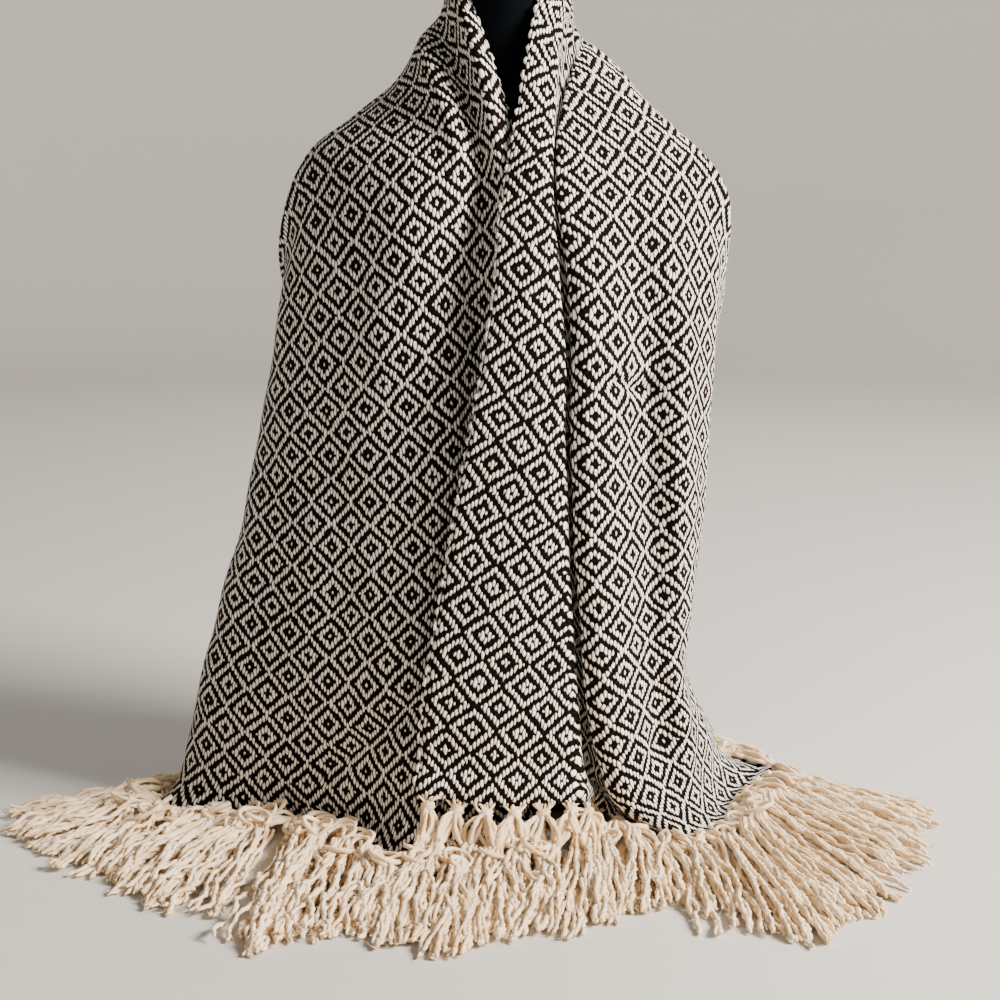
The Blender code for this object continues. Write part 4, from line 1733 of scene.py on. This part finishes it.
@dataclass
class DisplayBust:
    """The plain form under the shawl: a body without arms, a neck and a flat foot."""

    sides: int = 84
    steps: int = 5
    flat_limit: float = 0.99
    foot: BustLevel = BustLevel(0, 146, 96, 0)
    top: BustLevel = BustLevel(874, 39, 39, 5)

    LEVELS = (
        BustLevel(8, 150, 100, 0),
        BustLevel(190, 132, 88, 0),
        BustLevel(360, 150, 98, 0),
        BustLevel(500, 176, 106, 0),
        BustLevel(580, 192, 94, 0),
        BustLevel(630, 184, 80, 0),
        BustLevel(664, 158, 70, 1),
        BustLevel(690, 122, 62, 2),
        BustLevel(715, 84, 55, 4),
        BustLevel(738, 58, 49, 5),
        BustLevel(770, 45.3, 45.1, 5),
        BustLevel(868, 45.1, 45, 5),
    )

    def build(self, material: bpy.types.Material) -> bpy.types.Object:
        """Bridges oval rings to one closed form.

        Args:
            material: the form's coat.

        Returns:
            The finished piece.
        """
        table = np.array([astuple(level) for level in self.LEVELS], float)
        smooth = smooth_between(table, [self.steps] * (len(table) - 1))
        bm = bmesh.new()
        rings = []
        for height, half_width, half_depth, centre_x in (astuple(self.foot), *smooth, astuple(self.top)):
            made = bmesh.ops.create_circle(bm, segments=self.sides, radius=1.0)["verts"]
            bmesh.ops.scale(bm, vec=(half_width * MM, half_depth * MM, 1), verts=made)
            bmesh.ops.translate(bm, vec=(centre_x * MM, 0, height * MM), verts=made)
            rings.append(made)
        outlines = [list({edge for vert in ring for edge in vert.link_edges}) for ring in rings]
        for lower, upper in zip(outlines, outlines[1:]):
            bmesh.ops.bridge_loops(bm, edges=lower + upper)
        bm.faces.new(rings[0])
        bm.faces.new(rings[-1])
        bmesh.ops.recalc_face_normals(bm, faces=bm.faces)
        mesh = bpy.data.meshes.new("bust_form")
        bm.to_mesh(mesh)
        bm.free()
        bust = finished_object("bust_form", mesh, material)
        for polygon in bust.data.polygons:
            polygon.use_smooth = abs(polygon.normal.z) < self.flat_limit
        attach(bust, BODY)
        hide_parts("display_bust")
        log.info("bust_form: %d faces", len(mesh.polygons))
        return bust


@dataclass(frozen=True)
class Lamp:
    """One soft square light: where it hangs, the side of its square in metres, and its power in watts."""

    name: str
    place: tuple
    size: float
    power: float
    tint: str


@dataclass
class Studio:
    """A plain pale floor, soft lights and the photograph's camera."""

    eye: tuple = (-0.005, -2.0, 0.70)
    pitch_deg: float = 11.31
    lens_mm: float = 72
    sensor_mm: float = 36
    floor_radius: float = 3.2
    sweep_radius: float = 1.2
    sweep_steps: int = 8
    floor_sides: int = 96
    wall_height: float = 3.2
    air_colour: str = "#D9D9D9"
    air_strength: float = 0.13
    lit_point: tuple = (0, 0, 0.4)

    LAMPS = (
        Lamp("key_light", (2.65, -1.05, 1.95), 1.2, 420, "#FFF8F0"),
        Lamp("fill_light", (-0.6, -2.6, 1.2), 1.8, 5, "#FFF8F0"),
        Lamp("back_light", (0.4, 2.2, 2.4), 1.6, 30, "#FFFFFF"),
    )

    def build(self, floor_finish: bpy.types.Material) -> None:
        """Sets up the stage.

        Args:
            floor_finish: the floor's material.
        """
        bm = bmesh.new()
        bmesh.ops.create_circle(bm, cap_ends=True, segments=self.floor_sides, radius=self.floor_radius)
        rim = list(bm.edges)
        for step in range(1, self.sweep_steps + 1):
            angle = math.pi / 2 * step / self.sweep_steps
            reach = self.floor_radius + self.sweep_radius * math.sin(angle)
            rise = self.sweep_radius * (1 - math.cos(angle))
            rim = self._raised(bm, rim, reach, rise)
        self._raised(bm, rim, self.floor_radius + self.sweep_radius, self.wall_height)
        bmesh.ops.recalc_face_normals(bm, faces=bm.faces)
        if sum(face.normal.z for face in bm.faces) < 0:
            bmesh.ops.reverse_faces(bm, faces=bm.faces)
        mesh = bpy.data.meshes.new("studio_floor")
        bm.to_mesh(mesh)
        bm.free()
        floor = finished_object("studio_floor", mesh, floor_finish)
        floor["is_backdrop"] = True
        world = bpy.data.worlds.new("studio_air")
        world.use_nodes = True
        air = world.node_tree.nodes["Background"].inputs
        air["Color"].default_value = linear(self.air_colour)
        air["Strength"].default_value = self.air_strength
        bpy.context.scene.world = world
        for lamp in self.LAMPS:
            self._light(lamp)
        camera = bpy.data.cameras.new("photo_camera")
        camera.lens = self.lens_mm
        camera.sensor_width = self.sensor_mm
        holder = bpy.data.objects.new("photo_camera", camera)
        holder.location = self.eye
        holder.rotation_euler = (math.radians(90 - self.pitch_deg), 0, 0)
        bpy.context.scene.collection.objects.link(holder)
        bpy.context.scene.camera = holder

    def _raised(self, bm: bmesh.types.BMesh, rim: list, reach: float, rise: float) -> list:
        """Draws the paper on from its rim.

        Args:
            bm: the paper.
            rim: the edges of its rim.
            reach: the new rim's radius.
            rise: the new rim's height.

        Returns:
            The edges of the new rim.
        """
        made = bmesh.ops.extrude_edge_only(bm, edges=rim)["geom"]
        for vert in made:
            if isinstance(vert, bmesh.types.BMVert):
                flat = vert.co.xy.normalized() * reach
                vert.co = (flat.x, flat.y, rise)
        return [item for item in made if isinstance(item, bmesh.types.BMEdge)]

    def _light(self, lamp: Lamp) -> None:
        """Hangs one soft light that looks at the middle of the shawl.

        Args:
            lamp: the light's row.
        """
        light = bpy.data.lights.new(lamp.name, "AREA")
        light.size = lamp.size
        light.energy = lamp.power
        light.color = linear(lamp.tint)[:3]
        holder = bpy.data.objects.new(lamp.name, light)
        holder.location = lamp.place
        aim = Vector(self.lit_point) - Vector(lamp.place)
        holder.rotation_euler = aim.to_track_quat("-Z", "Y").to_euler()
        bpy.context.scene.collection.objects.link(holder)


def main() -> None:
    """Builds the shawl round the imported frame, piece by piece."""
    logging.basicConfig(level=logging.INFO, format="%(name)s: %(message)s")
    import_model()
    cad_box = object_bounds()
    drape = Drape()
    Studio().build(PaperFloor().material())
    DisplayBust().build(BustCoating().material())
    light = DiamondTwill("shawl_twill_outer").material()
    dark = DiamondTwill("shawl_twill_inner", Face.LATTICE_DARK).material()
    shawl = ShawlCloth(drape, WeaveChart(drape))
    cloth, points = shawl.build(light, dark)
    yarn = FringeCotton().material()
    right = KnottedFringe(
        "right_fringe", "fringe_right_end", RIGHT_END, drape, tassels=24, seed=11, loops=1, curl=1.2
    )
    left = KnottedFringe(
        "left_fringe", "fringe_left_end", LEFT_END, drape, tassels=22, seed=23, loops=5, curl=2.0
    )
    fringes = [*right.build(points[0], yarn), *left.build(points[-1], yarn)]
    edges, insides = [points[:, 0], points[:, -1]], [points[:, 1], points[:, -2]]
    fringes.append(Selvedge("selvedge_floats").build(edges, insides, SelvedgeCotton().material()))
    for box in (cad_box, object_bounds()):
        json.dumps([[round(float(x), 4) for x in corner] for corner in box]) + "\n"


if __name__ == "__main__":
    main()
